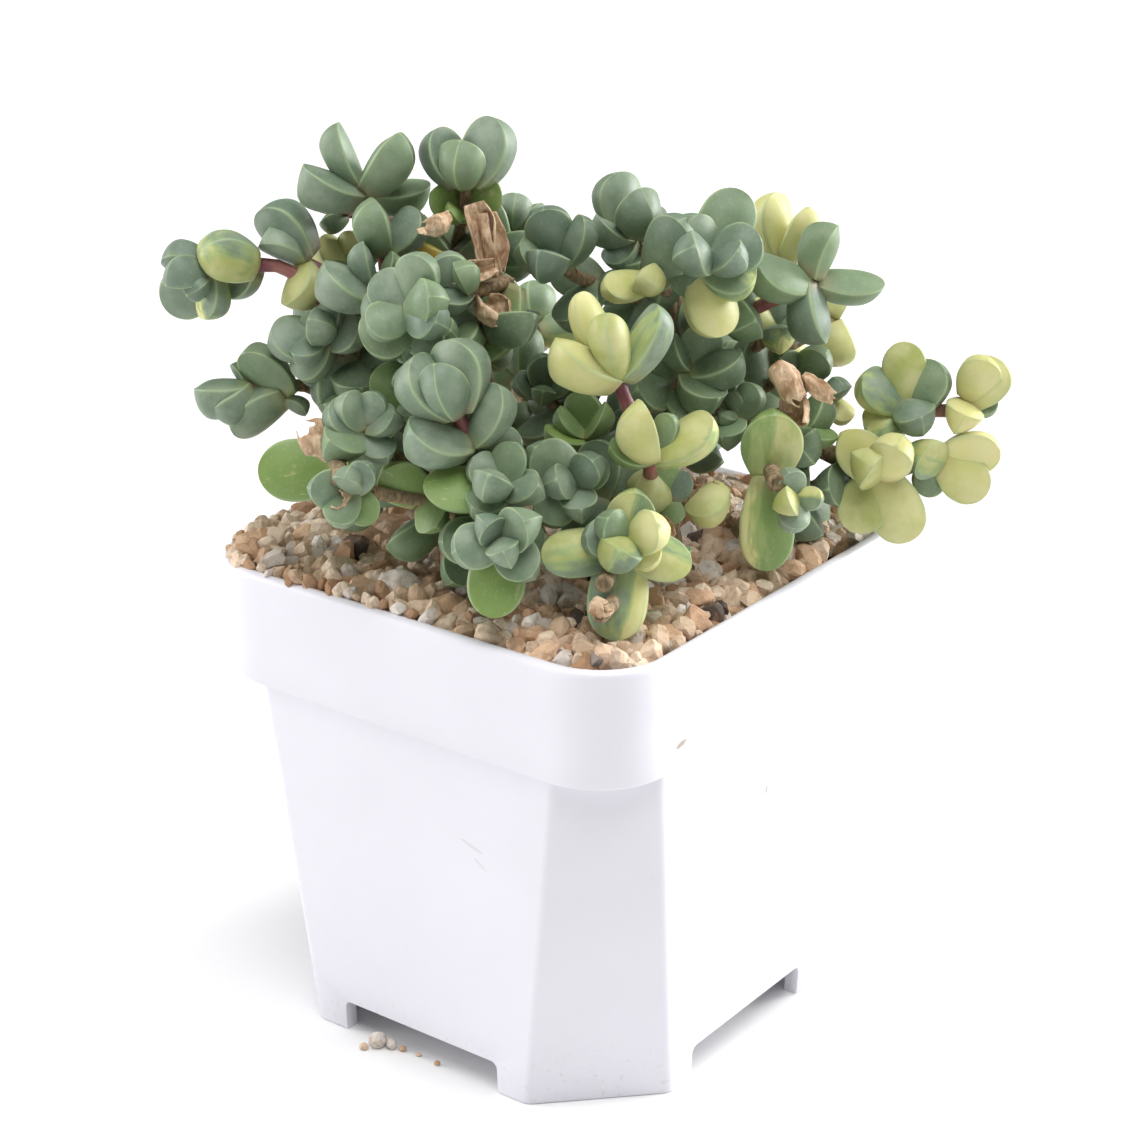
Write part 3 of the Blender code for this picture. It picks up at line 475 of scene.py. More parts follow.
# shoots: stem, the shoot it grows from if any, and its whorls from the base outwards. A whorl is its
# centre and each leaf's reach from there to its tip, outer leaves first, then its tint and breadth.
shoots = {
    "leaves_left_pair": ("stem_left", None, [
        ((-45, 5, 120), [(-7.5, 4, 2.5, "h"), (-5, -2, -4)]),
    ]),
    "leaves_left_tip": ("stem_left", "leaves_left_pair", [
        ((-51, 6.5, 119.5), [(-9, 1, 2), (-2, 3, -9, "h"), (-7, -1, -6), (-6, 5, -1), (-3, 5, -2)]),
    ]),
    "leaves_left_upper": ("stem_left", None, [
        ((-37.5, 3, 120), [(-6.5, 0, 7.5), (-2.5, 5, -4.5, "y"), (-7, 4, 4)]),
    ]),
    "leaves_left_inner": ("stem_left", None, [
        ((-31, -3, 117), [(-4, 0, 5.5, "y"), (2.5, 0, 6, "o"), (-4, 3, 2, "G"), (-1, -1, 7, "y")]),
    ]),
    "leaves_left_cluster": ("stem_left", None, [
        ((-31.5, 6, 107), [(-1, 3, -8.5, "g", 8), (3, 1, 5, "G")]),
        ((-34, 9, 110), [(-7.5, 3, 2.5), (4.5, 3, 3.5), (-5, 0, 7), (-5, 2, -4.5), (-4.5, 5, 0),
                         (-2.5, 5, 5), (1, 1, 6.5)]),
    ]),
    "leaves_left_low": ("stem_left", None, [
        ((-40.5, 7, 100.5), [(-6.5, 2, 7.5, "g", 7.6), (-7.5, 2, -5.5, "g", 7.4), (3, 2, -2, "G")]),
        ((-46, 6, 102), [(-8, 1, 0.5), (-5.5, 3, -2.5), (-3, -1, 2.8)]),
    ]),
    "leaves_grey_round": ("stem_left", None, [
        ((-26.5, 12, 118), [(-6.5, 3, 5.5, "g", 8), (2.5, 1, 7, "G", 4), (-1, 2, 8.3, "g", 4.5)]),
    ]),
    "leaves_upper_left": ("stem_upper_left", None, [
        ((-32, -5, 125.5), [(-7, 0, 2.5, "G"), (-4.5, 2.5, -1.2, "G")]),
        ((-28.5, 2, 130.5), [(-8, 3, 5, "g", 8), (9.5, -3, 1, "g", 7), (5, 2, 9.5, "g", 7.4),
                             (-3, 0, 10.3, "g", 6)]),
    ]),
    "leaves_round_pair": ("stem_upper_left", None, [
        ((-25, 8, 123.5), [(-1, 3, 10, "g", 8), (4, -1, 6)]),
    ]),
    "leaves_crown": ("stem_upper_left", None, [
        ((-14, 3, 127), [(-4.5, 2, 5, "b"), (4.5, 1, 5.5, "b"), (-1.5, 5, 2.5, "b", 3.6),
                         (2, 5, 2.5, "b", 3.6)]),
        ((-13.5, 3, 132), [(-4, -1, 8.5), (3.5, -1, 9.5), (-0.5, 3.8, 7.6, "g", 6.8)]),
    ]),
    "leaves_behind_crown": ("stem_upper_left", None, [
        ((-7, -13, 121), [(-3, 0, 5), (4, 0, 4), (0.5, 2, 6), (0, -4, 4)]),
    ]),
    "leaves_old_yellow": ("stem_upper_left", None, [
        ((-15.5, 1, 120), [(-8, 3.5, 4.5, "w", 5.4), (-4, -2, 6.5, "G"), (3.5, -3, 5, "G")]),
    ]),
    "leaves_front_left": ("stem_front_left", None, [
        ((-20.5, 21, 118), [(-7, 3, -3.5, "G", 8), (2.5, 5, -4.5, "g", 6), (-7.5, 0, 1),
                            (0.5, 3, 9, "g", 6.6), (-5.5, 0, 5.5), (-6, 5, 0), (3, 8, 1.5),
                            (2, 7.5, 4.8)]),
    ]),
    "leaves_crumpled": ("stem_front_left", None, [
        ((-7.5, 11, 119.5), [(-4.5, 4, -10.5, "o", 9)]),
        ((-13, 15, 119.5), [(-4.5, 2, 4.5), (-4.5, 4, 0.5), (-2, 4, 4)]),
    ]),
    "leaves_front_upper": ("stem_front_left", None, [
        ((-12.7, 31, 102.5), [(-7.5, 4.5, 4, "g", 8.2), (4, 1.5, 8.5, "g", 6.8)]),
        ((-14.3, 31, 107), [(-5.5, 1, 8), (-1, 0, 10), (-2.8, 4, 8.6, "g", 6.8)]),
    ]),
    "leaves_left_of_front": ("stem_front_left", None, [
        ((-20, 22, 106), [(-8, 1, 4, "o"), (-2, 3.5, -1.5, "G"), (-2.5, 2.5, 4), (0, 4, 3)]),
    ]),
    "leaves_ribbed": ("stem_front_left", None, [
        ((-27.5, 25, 101.5), [(5.5, 0, 2.5, "o"), (-4.5, 5.5, 1.5), (3.5, 4.5, -1.5), (-4.5, 2, 5),
                              (4, 3, 4.5), (-2, 2.5, 6.5), (1.5, 2, 6.5)]),
    ]),
    "leaves_low_left_old": ("stem_front_left", None, [
        ((-32, 18, 93.5), [(-11.5, 2.5, 0.5, "b", 9), (1.5, 5, 2, "o", 4)]),
    ]),
    "leaves_low_left": ("stem_front_left", None, [
        ((-19.5, 24, 91), [(-6, 4, 6, "b", 8), (1.5, 6, -1.5, "o", 6)]),
        ((-29, 31, 95), [(2.5, 2.5, -4, "o"), (-5.5, 3, 1.5), (2, 2, 4.5), (-2.5, 5, -2.5),
                         (-1, 5, 3.5)]),
    ]),
    "leaves_mid_rosette": ("stem_front_left", None, [
        ((-8, 34, 96.5), [(-11.5, 2, 1.5, "b", 8), (-4, 4.5, -0.5), (-4.5, 1, 6), (4.8, 4, 2.5),
                          (1.5, 0.5, 7), (-1.5, 6, 5)]),
    ]),
    "leaves_low_front": ("stem_front_left", None, [
        ((-8, 39.5, 91), [(-1.5, 5, -9.5, "b", 8), (4, 5, -3), (-6, 4.5, 0.5, "g", 6.6), (-1.5, 1, 6),
                          (2.7, 6, 5, "g", 6.4), (-1.5, 5.5, 4), (0.2, 7.5, 1.8)]),
    ]),
    "leaves_mid_right": ("stem_front_right", None, [
        ((2, 29, 95), [(-4.5, 4.5, -3), (-5, 2, 6.5), (4.5, 0, 4), (1, 6.5, -0.5), (2.2, 4.5, 5.2),
                       (-2, 6, 3.5)]),
    ]),
    "leaves_front": ("stem_front_right", None, [
        ((9, 35.5, 88.5), [(-1.5, 7, -11.3, "h", 8.4), (-11.5, 2.5, -0.5, "h", 7),
                           (9.5, 1.5, -2.5, "h", 7), (-5, 3, 3.2), (4.5, 4.5, 0, "y"),
                           (1.5, 2, 8.5, "h"), (-0.5, 7.5, 3, "h", 6.4), (4, 6, 5.5, "y"),
                           (-2, 5.5, 6.2)]),
    ]),
    "leaves_lime_low": ("stem_front_right", None, [
        ((13.5, 28, 85), [(5.5, 3.5, 1.5, "o", 5.6)]),
        ((16, 22, 90), [(-2, 1, 6, "o"), (-4.8, 3.5, 4, "y"), (2, 0, 4.5), (0.5, 3.5, -2, "o")]),
        ((23, 21, 92), [(-4, 4.5, -2.5, "y", 6.4)]),
    ]),
    "leaves_yellow_fork": ("stem_front_right", "leaves_yellow_centre", [
        ((8, 27.5, 111), [(-8, 3.5, 6.5, "y", 8), (5.2, 0, 10.3, "m", 7), (-5, 0, 12, "y", 5.6),
                          (-2, 3.8, 10.5, "y", 5.8)]),
    ]),
    "leaves_yellow_centre": ("stem_front_right", None, [
        ((13, 28.5, 99.5), [(-9, 4.5, 4, "o", 8.2), (8, 2, 6.3, "h", 7), (2.2, 2, 6.5, "g", 4),
                            (-0.7, 6.3, 9.8, "y", 7.4)]),
    ]),
    "leaves_olive_behind": ("stem_front_right", None, [
        ((4, 9, 95), [(-6, 2, 2.5, "b"), (-1.5, 0, 7, "o"), (2.2, 2, 6, "o"), (-4, 1, 5, "o")]),
    ]),
    "leaves_top_left_of_middle": ("stem_right", None, [
        ((0, 6, 121), [(-5.5, 2, 3.5), (3, 4, 7.5, "g", 5.6), (-2.5, 2, 8), (-3, 6, 4)]),
    ]),
    "leaves_top_middle": ("stem_right", None, [
        ((10.5, 1, 123.5), [(-4, 2.5, -3), (-4.8, 2, 4), (4.5, -2, 4), (-2, 0, 9.4), (0.8, 4, 8.6)]),
    ]),
    "leaves_top_right": ("stem_right", None, [
        ((13.3, 10, 119.5), [(3, 5.5, 10, "g", 8), (-6.5, 8, 1.5, "y", 5), (-2.5, 8.5, 3.5, "y", 5)]),
        ((20.5, 12, 122), [(3, 4, -9, "y", 8), (5.8, -4, 10.2, "g", 8.2), (-4, 2, -3, "G"),
                           (7, 4, -0.5, "h"), (7.8, 2, 5), (-1, 2, 8), (4.2, 6, 4.6), (-1, 7.5, 5.5)]),
    ]),
    "leaves_yellow_round": ("stem_right", None, [
        ((34, -13, 116.5), [(-1, -1, 9.5, "y", 7.6), (2.7, 2, 8.3, "y", 6)]),
    ]),
    "leaves_right_cross": ("stem_right", None, [
        ((37, 2.5, 117), [(2.7, 3.5, -8.2, "g", 7.8), (-8, 4.5, 4.3, "g", 7.8), (4.2, -1, 8, "g", 7),
                          (11, -2, -0.3, "g", 6.4)]),
    ]),
    "leaves_mottled": ("stem_right", None, [
        ((32, -5, 107), [(0, 0, 7), (5.5, 1, 2.5), (-3.2, 2.5, 5, "y"), (1, 6.5, 3, "h")]),
    ]),
    "leaves_dark_pair": ("stem_right", None, [
        ((36, -3, 100.5), [(-3, 3.5, 4, "G"), (3.2, 3.5, 4, "G"), (0, 4.5, -0.5, "G")]),
        ((41, -1, 97.5), [(2.5, 3, -2, "y"), (1.7, 3.5, 2.5)]),
    ]),
    "leaves_yellow_behind": ("stem_right", None, [
        ((42, -16, 105), [(2.5, 1.5, -6.5, "y", 6.4), (2, -4, 3, "y")]),
    ]),
    "leaves_dark_wedges": ("stem_right", None, [
        ((19, 8, 105), [(4.5, 4.5, -2, "G", 8), (7.2, 2, 3.8, "G", 7), (-2, 1, 6, "G"), (3, 0, 7, "G")]),
    ]),
    "leaves_hollow": ("stem_right", None, [
        ((-2.5, -6, 97), [(-4, 1, 3, "G"), (4, 1, 3, "G"), (0, 4.5, 2, "G"), (0, 2, 6, "G")]),
    ]),
    "leaves_small_dark": ("stem_far_right", None, [
        ((26, 8, 98), [(2.3, 1, 5, "G"), (-2.5, 5, -1), (-1, 1, 5, "G"), (-3, 4, 1.8)]),
    ]),
    "leaves_scarred_pair": ("stem_far_right", None, [
        ((30.5, 17, 92), [(0.5, 1.5, 9.5, "s", 9), (-0.5, 5, -13, "s", 8)]),
    ]),
    "leaves_striped_bud": ("stem_far_right", None, [
        ((34, 22, 90.5), [(-0.5, 4.5, -2.7), (-1, 2, 4.3), (3.2, 3, 1, "h"), (-1, 5.5, 1.5, "y")]),
    ]),
    "leaves_olive_right": ("stem_far_right", None, [
        ((32, 5, 97), [(9.3, 2.5, -2, "o", 6.6)]),
    ]),
    "leaves_branch_base": ("stem_far_right", None, [
        ((48, 8, 88.5), [(-5, 4, -7, "y", 8), (-7, 1, 7.6, "y", 8), (4, 4, -9, "y", 8),
                         (-2, 7, 3.5, "y", 6.8), (0.7, 6.5, 6.5, "y", 6.8)]),
    ]),
    "leaves_branch_middle": ("stem_far_right", "leaves_branch_base", [
        ((51.5, 2.5, 97), [(-6.5, 3, -2, "h", 8), (5.2, 1, 8.6, "g", 8), (-6.5, 1.5, 6.5, "h", 7.4),
                           (-0.5, 0, 10.5, "y", 6.6), (1.7, 5.8, 1.5, "g", 6.4)]),
    ]),
    "leaves_branch_low": ("stem_far_right", "leaves_branch_base", [
        ((57, 6, 90), [(-3, 2, -5.5, "G", 6.6), (8.2, 2.5, 2.4, "y", 7.2), (6.4, 3.5, -4, "y", 7.2),
                       (-3.8, 4.5, 2, "h", 7)]),
    ]),
    "leaves_branch_tip": ("stem_far_right", "leaves_branch_middle", [
        ((60.5, 3, 98), [(4.8, 0, 1, "G"), (-2.5, 0, 5.5), (4.8, 1, 7, "y"), (-1, 7.5, 0.5, "y", 9.4),
                         (2.4, 3, 7.5, "y", 6.4)]),
    ]),
    "leaves_back_left": ("stem_left", None, [
        ((-34, -17, 106), [(-7, -3, 1), (4, -6, 4), (-3, -6, 5), (-3, -1, 7)]),
    ]),
    "leaves_back_upper_left": ("stem_upper_left", None, [
        ((-16, -25, 112), [(-7, -4, 1), (6, -6, 1), (0, -8, 4), (-1, -4, 8)]),
    ]),
    "leaves_back_middle": ("stem_upper_left", None, [
        ((-4, -36, 97), [(-7, -3, 1), (7, -3, 1, "h"), (0, -8, -2), (0, -6, 6)]),
    ]),
    "leaves_back_right": ("stem_right", None, [
        ((20, -27, 110), [(7, -4, 1), (-6, -5, 1), (1, -8, 4, "h"), (1, -4, 8)]),
    ]),
    "leaves_back_low_right": ("stem_right", None, [
        ((32, -33, 94), [(7, -4, 0, "y"), (-5, -6, 0), (2, -7, -3, "h"), (2, -5, 6, "h")]),
    ]),
}


stemSizes = {
    "trunk": 2.0 * mm,
    "twig": 0.95 * mm,
    "fork": 1.09 * mm,  # a twig where it leaves its trunk
    "socket": 0.6 * mm,  # how far a twig reaches into its whorl
    "sides": 14,
    "steps": 12,  # points from one bend of a run to the next
    "roomSides": 5,  # the same runs, coarser, for testing room
    "roomSteps": 3,
    "roughness": 0.35 * mm,
    "grain": 900.0,
    "plainYoung": 0.15,  # how young a twig is where youngTwigs doesn't say
    "leaving": 0.33,  # share of a twig that runs the way it left, and the way it arrives
    "arriving": 0.38,
    "lowestFork": 79 * mm,
    "forkSlope": 0.8,
}


# the swollen joints of each run: place along it and half length, as shares
stemJoints = ((0.55, 0.03), (0.95, 0.05))


def smoothPath(points, steps):
    # a curve through the points
    ends = [2 * points[0] - points[1], *points, 2 * points[-1] - points[-2]]
    path = []
    for a, b, c, d in zip(ends, ends[1:], ends[2:], ends[3:]):
        for k in range(steps):
            t = k / steps
            path.append(0.5 * (2 * b + (c - a) * t + (2 * a - 5 * b + 4 * c - d) * t**2
                               + (3 * b - a - 3 * c + d) * t**3))
    path.append(points[-1].copy())
    return path


def twigPath(start, way, core, axis, steps):
    # leaves the trunk its way and comes into the whorl from behind
    far = (core - start).length
    a = start + way * far * stemSizes["leaving"]
    b = core - axis * far * stemSizes["arriving"]
    path = []
    for k in range(steps + 1):
        t = k / steps
        path.append((1 - t) ** 3 * start + 3 * (1 - t) ** 2 * t * a
                    + 3 * (1 - t) * t**2 * b + t**3 * core)
    return path


def whorlAxis(leaves):
    # the way a whorl faces: inner leaves count for more
    if len(leaves) == 1:
        return Vector((0, 0, 1))
    total = Vector()
    for k, leaf in enumerate(leaves):
        total += spot(*leaf[:3]).normalized() * (1 + k)
    return total.normalized()


def forkPoint(trunk, core):
    # where a twig leaves its trunk, lower for a whorl further out, and the way the trunk runs there
    flat = (core.xy - trunk[0].xy).length
    height = min(core.z - stemSizes["forkSlope"] * flat, trunk[-1].z)
    height = max(potCentre.z + stemSizes["lowestFork"], height)
    for a, b in zip(trunk, trunk[1:]):
        if b.z >= height:
            break
    share = (height - a.z) / (b.z - a.z)
    return a.lerp(b, min(share, 1.0)), (b - a).normalized()


def stemRuns(steps):
    # each stem's runs as (path, start girth, end girth, how young it is), and each shoot's first twig
    trunk, twig = stemSizes["trunk"], stemSizes["twig"]
    courses = {name: smoothPath([place(*p) for p in points], steps) for name, points in trunks.items()}
    runs = {name: [(path, trunk, twig, 0.0)] for name, path in courses.items()}
    twigs = {}
    for name, (stem, after, whorls) in shoots.items():
        for index, (centre, leaves) in enumerate(whorls):
            core, axis = place(*centre), whorlAxis(leaves)
            if index or after:
                start = place(*(whorls[index - 1] if index else shoots[after][2][-1])[0])
                way = (core - start).normalized()
            else:
                start, way = forkPoint(courses[stem], core)
            path = twigPath(start, way, core + axis * stemSizes["socket"], axis, steps)
            young = youngTwigs.get(name, stemSizes["plainYoung"])
            runs[stem].append((path, stemSizes["fork"], twig, young))
            twigs.setdefault(name, path)
    return runs, twigs


def tube(path, start, end, sides):
    rings = []
    side = (path[1] - path[0]).orthogonal().normalized()
    for k, p in enumerate(path):
        along = (path[min(k + 1, len(path) - 1)] - path[max(k - 1, 0)]).normalized()
        side = (side - side.dot(along) * along).normalized()
        other = along.cross(side)
        girth = start + (end - start) * k / (len(path) - 1)
        turns = [2 * math.pi * i / sides for i in range(sides)]
        rings.append([p + girth * (side * math.cos(a) + other * math.sin(a)) for a in turns])
    return loft(rings)


def stemRecipe():
    # rounds a run of edges out to its girth, roughens it like bark and swells it at each joint
    recipe = Recipe("stem", {
        "Sides": ("Int", 14),
        "Roughness": ("Float", 0.0),
        "Grain": ("Float", 900.0),
        "Material": ("Material", None),
    })
    line = recipe.node("GeometryNodeMeshToCurve", None, {"Mesh": recipe.given("Geometry")})
    ring = recipe.node("GeometryNodeCurvePrimitiveCircle", None,
                       {"Resolution": recipe.given("Sides"), "Radius": 1.0})
    inputs = {"Curve": line, "Profile Curve": ring, "Scale": recipe.named("girth"), "Fill Caps": True}
    body = recipe.node("GeometryNodeCurveToMesh", None, inputs)
    where = recipe.node("GeometryNodeInputPosition")
    grain = recipe.node("ShaderNodeTexNoise", None,
                        {"Vector": where, "Scale": recipe.given("Grain"), "Detail": 3.0})
    lift = recipe.node("ShaderNodeMath", {"operation": "SUBTRACT"}, {0: grain, 1: 0.5})
    lift = recipe.node("ShaderNodeMath", {"operation": "MULTIPLY"},
                       {0: lift, 1: recipe.given("Roughness")})
    normal = recipe.node("GeometryNodeInputNormal")
    offset = recipe.node("ShaderNodeVectorMath", {"operation": "SCALE"}, {0: normal, "Scale": lift})
    body = recipe.node("GeometryNodeSetPosition", None, {"Geometry": body, "Offset": offset})
    body = recipe.node("GeometryNodeSetShadeSmooth", None, {"Geometry": body})
    recipe.finish(body, recipe.given("Material"))
    return recipe


def makeStems(material):
    recipe = stemRecipe()
    for name, runs in stemRuns(stemSizes["steps"])[0].items():
        mesh = bpy.data.meshes.new(name)
        points, edges, girths, ages = [], [], [], []
        for path, start, end, young in runs:
            first = len(points)
            for k, p in enumerate(path):
                share = k / (len(path) - 1)
                joint = sum(0.10 * math.exp(-((share - at) / half) ** 2) for at, half in stemJoints)
                points.append(p)
                girths.append((start + (end - start) * share) * (1 + joint))
                ages.append(young)
            edges += [(i, i + 1) for i in range(first, len(points) - 1)]
        mesh.from_pydata(points, edges, [])
        mesh.attributes.new("girth", "FLOAT", "POINT").data.foreach_set("value", girths)
        mesh.attributes.new("young", "FLOAT", "POINT").data.foreach_set("value", ages)
        values = {"Sides": stemSizes["sides"], "Roughness": stemSizes["roughness"],
                  "Grain": stemSizes["grain"], "Material": material}
        piece = recipe.make(shown(name + "_line", mesh), name.replace("stem_", "") + "_stem", values)
        keep(piece, "stem_bark", name)


def barkLook():
    look = Look("stem bark")
    where = look.where()
    stretched = look.vector("MULTIPLY", where, (1.0, 1.0, 0.3))
    fibre = look.speckle(stretched, 1500.0, 5.0, 0.7)
    patch = look.speckle(where, 160.0, 3.0)
    old = look.mix(fibre.rise(0.30, 0.72), (0.10, 0.060, 0.032), (0.46, 0.33, 0.19))
    old = look.mix(patch.rise(0.45, 0.7) * 0.6, old, (0.20, 0.16, 0.085))
    fresh = look.mix(patch.rise(0.35, 0.65), (0.16, 0.030, 0.050), (0.32, 0.12, 0.10))
    young = (look.attribute("young") + (patch - 0.5) * 0.5).rise(0.3, 0.65)
    look.set(Base_Color=look.mix(young, old, fresh), Roughness=0.75 - young * 0.35, Metallic=0.0)
    look.set(Normal=look.bump(fibre, 0.00025, 0.8))
    return look.material


leafSizes = {
    "breadth": 0.90,  # of the length
    "bow": 0.30,  # of the breadth
    "whorlStep": 0.8 * mm,
    "smallest": 0.52,
    "sizeStep": 0.06,
    "gap": 0.3 * mm,
    "heart": 2.6 * mm,  # where the leaves of a whorl join
    "sheath": 2.3 * mm,
    "olderReach": 7.5 * mm,  # older leaves, in crossed pairs below a whorl
    "olderLean": 0.5,
    "olderSpacing": 3.5 * mm,
    "olderOverlap": 0.4 * mm,
    "roomBow": 0.36,  # the coarse leaf for testing room: bow of the length, then its flanks
    "roomOut": 0.74,
    "roomDown": 0.62,
    "plumpness": 1.0,
    "rows": 18,
    "seed": 11,
}

# shoots whose twigs show bare below their leaves
bareTwigs = ("leaves_left_pair", "leaves_yellow_centre", "leaves_scarred_pair")

# the three leaf forms: share of length where broadest, share where deepest, keel depth, how blunt the
# end is, how full the flanks are near the base and the tip, and how domed the inner side is
leafForms = {
    "a_plump": {"broad": 0.54, "deep": 0.60, "keel": 0.60, "blunt": 2.7,
                "base": 1.0, "tip": 0.86, "top": 0.24},
    "b_keeled": {"broad": 0.46, "deep": 0.64, "keel": 0.64, "blunt": 2.3,
                 "base": 0.92, "tip": 0.70, "top": 0.14},
    "c_long": {"broad": 0.52, "deep": 0.50, "keel": 0.46, "blunt": 2.2,
               "base": 0.92, "tip": 0.72, "top": 0.12},
}

# leaf tints: share of yellow, how much older and greener, how much painted shade darkens it, how withered
leafTints = {
    "g": (0.04, 0.10, 0.10, 0.0),
    # G: a leaf deep inside the plant, painted much darker as shade
    "G": (0.02, 0.30, 0.50, 0.0),
    "y": (0.92, 0.15, 0.00, 0.0),
    "h": (0.50, 0.15, 0.05, 0.0),
    "m": (0.30, 0.12, 0.05, 0.0),
    "o": (0.16, 0.70, 0.15, 0.0),
    "b": (0.10, 0.95, 0.05, 0.0),
    "s": (0.46, 0.90, 0.00, 0.12),
    "w": (0.95, 0.30, 0.00, 0.9),
}


def arc(a, b, c, t):
    return (1 - t) ** 2 * a + 2 * t * (1 - t) * b + t**2 * c


def leafSource(name, form, group):
    # one leaf of length 1 along Y and breadth 1 along X, inner side +Z, with its ridges marked
    rows = leafSizes["rows"]
    steps = [(0.0, 1.0), (0.05, 0.4), (0.15, 0.0), (0.32, 0.0), (0.5, 0.0), (0.68, 0.0),
             (0.85, 0.0), (0.95, 0.4)]
    bm = bmesh.new()
    ridge = bm.verts.layers.float.new("ridge")
    own = bm.verts.layers.float_vector.new("leafPlace")
    rings = []
    for r in range(rows):
        s = 1 - (1 - r / rows) ** 1.5
        broad, deep, blunt = form["broad"], form["deep"], form["blunt"]
        if s < broad:
            half = 0.60 + 0.40 * math.sin(math.pi / 2 * s / broad)
        else:
            half = (1 - ((s - broad) / (1 - broad)) ** blunt) ** 0.52
        if s < deep:
            keel = 0.70 + 0.30 * math.sin(math.pi / 2 * s / deep)
        else:
            keel = (1 - ((s - deep) / (1 - deep)) ** 2.3) ** 0.52
        half *= 0.5
        depth = form["keel"] * keel
        top = form["top"] * half * 2 * (1 - s**6)
        full = form["base"] + (form["tip"] - form["base"]) * s
        bow = -leafSizes["bow"] * s * (1 - s) - 0.07 * s**3
        corners = [Vector((half, 0, 0)), Vector((-half, 0, 0)), Vector((0, 0, -depth))]
        handles = [
            Vector((0, 0, 2 * top)),
            Vector((-half * full, 0, -depth * full)),
            Vector((half * full, 0, -depth * full)),
        ]
        ring = []
        for edge in range(3):
            a, b, c = corners[edge], handles[edge], corners[(edge + 1) % 3]
            for t, mark in steps:
                p = arc(a, b, c, t)
                lift = 0.012 * mark
                p += (p - Vector((0, 0, -depth * 0.4))).normalized() * lift * min(1.0, 4 * (1 - s))
                vert = bm.verts.new((p.x, s, p.z + bow))
                vert[ridge] = mark
                vert[own] = (p.x, s, p.z)
                ring.append(vert)
        rings.append(ring)
    end = bm.verts.new((0, 1, -0.07))
    end[ridge] = 1.0
    end[own] = (0, 1, 0)
    for lower, upper in zip(rings, rings[1:]):
        for i in range(len(lower)):
            j = (i + 1) % len(lower)
            bm.faces.new((lower[i], upper[i], upper[j], lower[j]))
    for i in range(len(rings[-1])):
        bm.faces.new((rings[-1][i], end, rings[-1][(i + 1) % len(rings[-1])]))
    bm.faces.new(rings[0])
    bmesh.ops.recalc_face_normals(bm, faces=bm.faces)
    made = bpy.data.objects.new(name, meshOf(name, bm))
    group.objects.link(made)
    return made


def shootRecipe():
    # sets a leaf on each point, turned and sized by the point's own values
    recipe = Recipe("shoot", {"Leaves": ("Collection", None), "Plumpness": ("Float", 1.0),
                              "Material": ("Material", None)})
    inputs = {"Collection": recipe.given("Leaves"), "Separate Children": True, "Reset Children": True}
    leaves = recipe.node("GeometryNodeCollectionInfo", None, inputs)
    turn = recipe.named("turn", "FLOAT_VECTOR")
    turn = recipe.node("FunctionNodeEulerToRotation", None, {"Euler": turn})
    plump = recipe.node("ShaderNodeCombineXYZ", None,
                        {"X": recipe.given("Plumpness"), "Y": 1.0, "Z": recipe.given("Plumpness")})
    size = recipe.node("ShaderNodeVectorMath", {"operation": "MULTIPLY"},
                       {0: recipe.named("size", "FLOAT_VECTOR"), 1: plump})
    inputs = {
        "Points": recipe.given("Geometry"),
        "Instance": leaves,
        "Pick Instance": True,
        "Instance Index": recipe.named("form", "INT"),
        "Rotation": turn,
        "Scale": size,
    }
    whole = recipe.node("GeometryNodeInstanceOnPoints", None, inputs)
    whole = recipe.node("GeometryNodeSetShadeSmooth", None, {"Geometry": whole})
    recipe.finish(whole, recipe.given("Material"))
    return recipe


def leafBox(base, tip, axis, breadth, size, extra):
    # a coarse leaf for testing whether there is room for a fine one
    reach = (tip - base) * size
    along = reach.normalized()
    inner = axis - axis.dot(along) * along
    if inner.length < 0.05:
        inner = along.orthogonal()
    inner.normalize()
    side = along.cross(inner)
    wide = breadth * size / 2 + extra
    rings = []
    for share, half, keel in ((0.0, 0.60, 0.70), (0.38, 1.0, 0.94), (0.78, 0.90, 0.98)):
        bow = inner * reach.length * leafSizes["roomBow"] * share * (1 - share)
        centre = base + reach * share - bow
        across, deep = wide * half, 1.2 * wide * keel
        rings.append([
            centre + side * across,
            centre - side * across,
            centre - side * across * leafSizes["roomOut"] - inner * deep * leafSizes["roomDown"],
            centre - inner * deep,
            centre + side * across * leafSizes["roomOut"] - inner * deep * leafSizes["roomDown"],
        ])
    return rings, base + along * (reach.length + extra), Matrix((side, along, inner)).transposed()


def roomTaken(bm):
    # a shape's box and its faces, for clear()
    bm.normal_update()
    points = [v.co for v in bm.verts]
    low = [min(p[i] for p in points) for i in range(3)]
    high = [max(p[i] for p in points) for i in range(3)]
    tree = BVHTree.FromBMesh(bm)
    bm.free()
    return low, high, tree


def clear(room, others):
    # whether the room touches none of the others
    low, high, tree = room
    for lowOther, highOther, other in others:
        near = all(low[i] <= highOther[i] and lowOther[i] <= high[i] for i in range(3))
        if near and tree.overlap(other):
            return False
    return True


def hearts(whorls, extra):
    # where a shoot's leaves join: a ball for each whorl, and a sheath from one whorl to the next
    shapes = []
    last = None
    for centre, leaves in whorls:
        core, axis = place(*centre), whorlAxis(leaves)
        bm = bmesh.new()
        bmesh.ops.create_icosphere(bm, subdivisions=1, radius=leafSizes["heart"] + extra)
        bmesh.ops.translate(bm, vec=core, verts=bm.verts)
        shapes.append(bm)
        if last is not None:
            end, sheath = core + axis * stemSizes["socket"], leafSizes["sheath"] + extra
            path = twigPath(last, (core - last).normalized(), end, axis, stemSizes["roomSteps"])
            shapes.append(tube(path, sheath, sheath, stemSizes["roomSides"]))
        last = core
    return shapes


def nodeRoom(name):
    bm = bmesh.new()
    bm.from_mesh(frame["nodes"][name].data)
    return roomTaken(bm)


def roomsOfOthers(taken, name, stem):
    # all but the shoot's own and its stem's
    return [room for key, rooms in taken.items() if key not in (name, stem) for room in rooms]


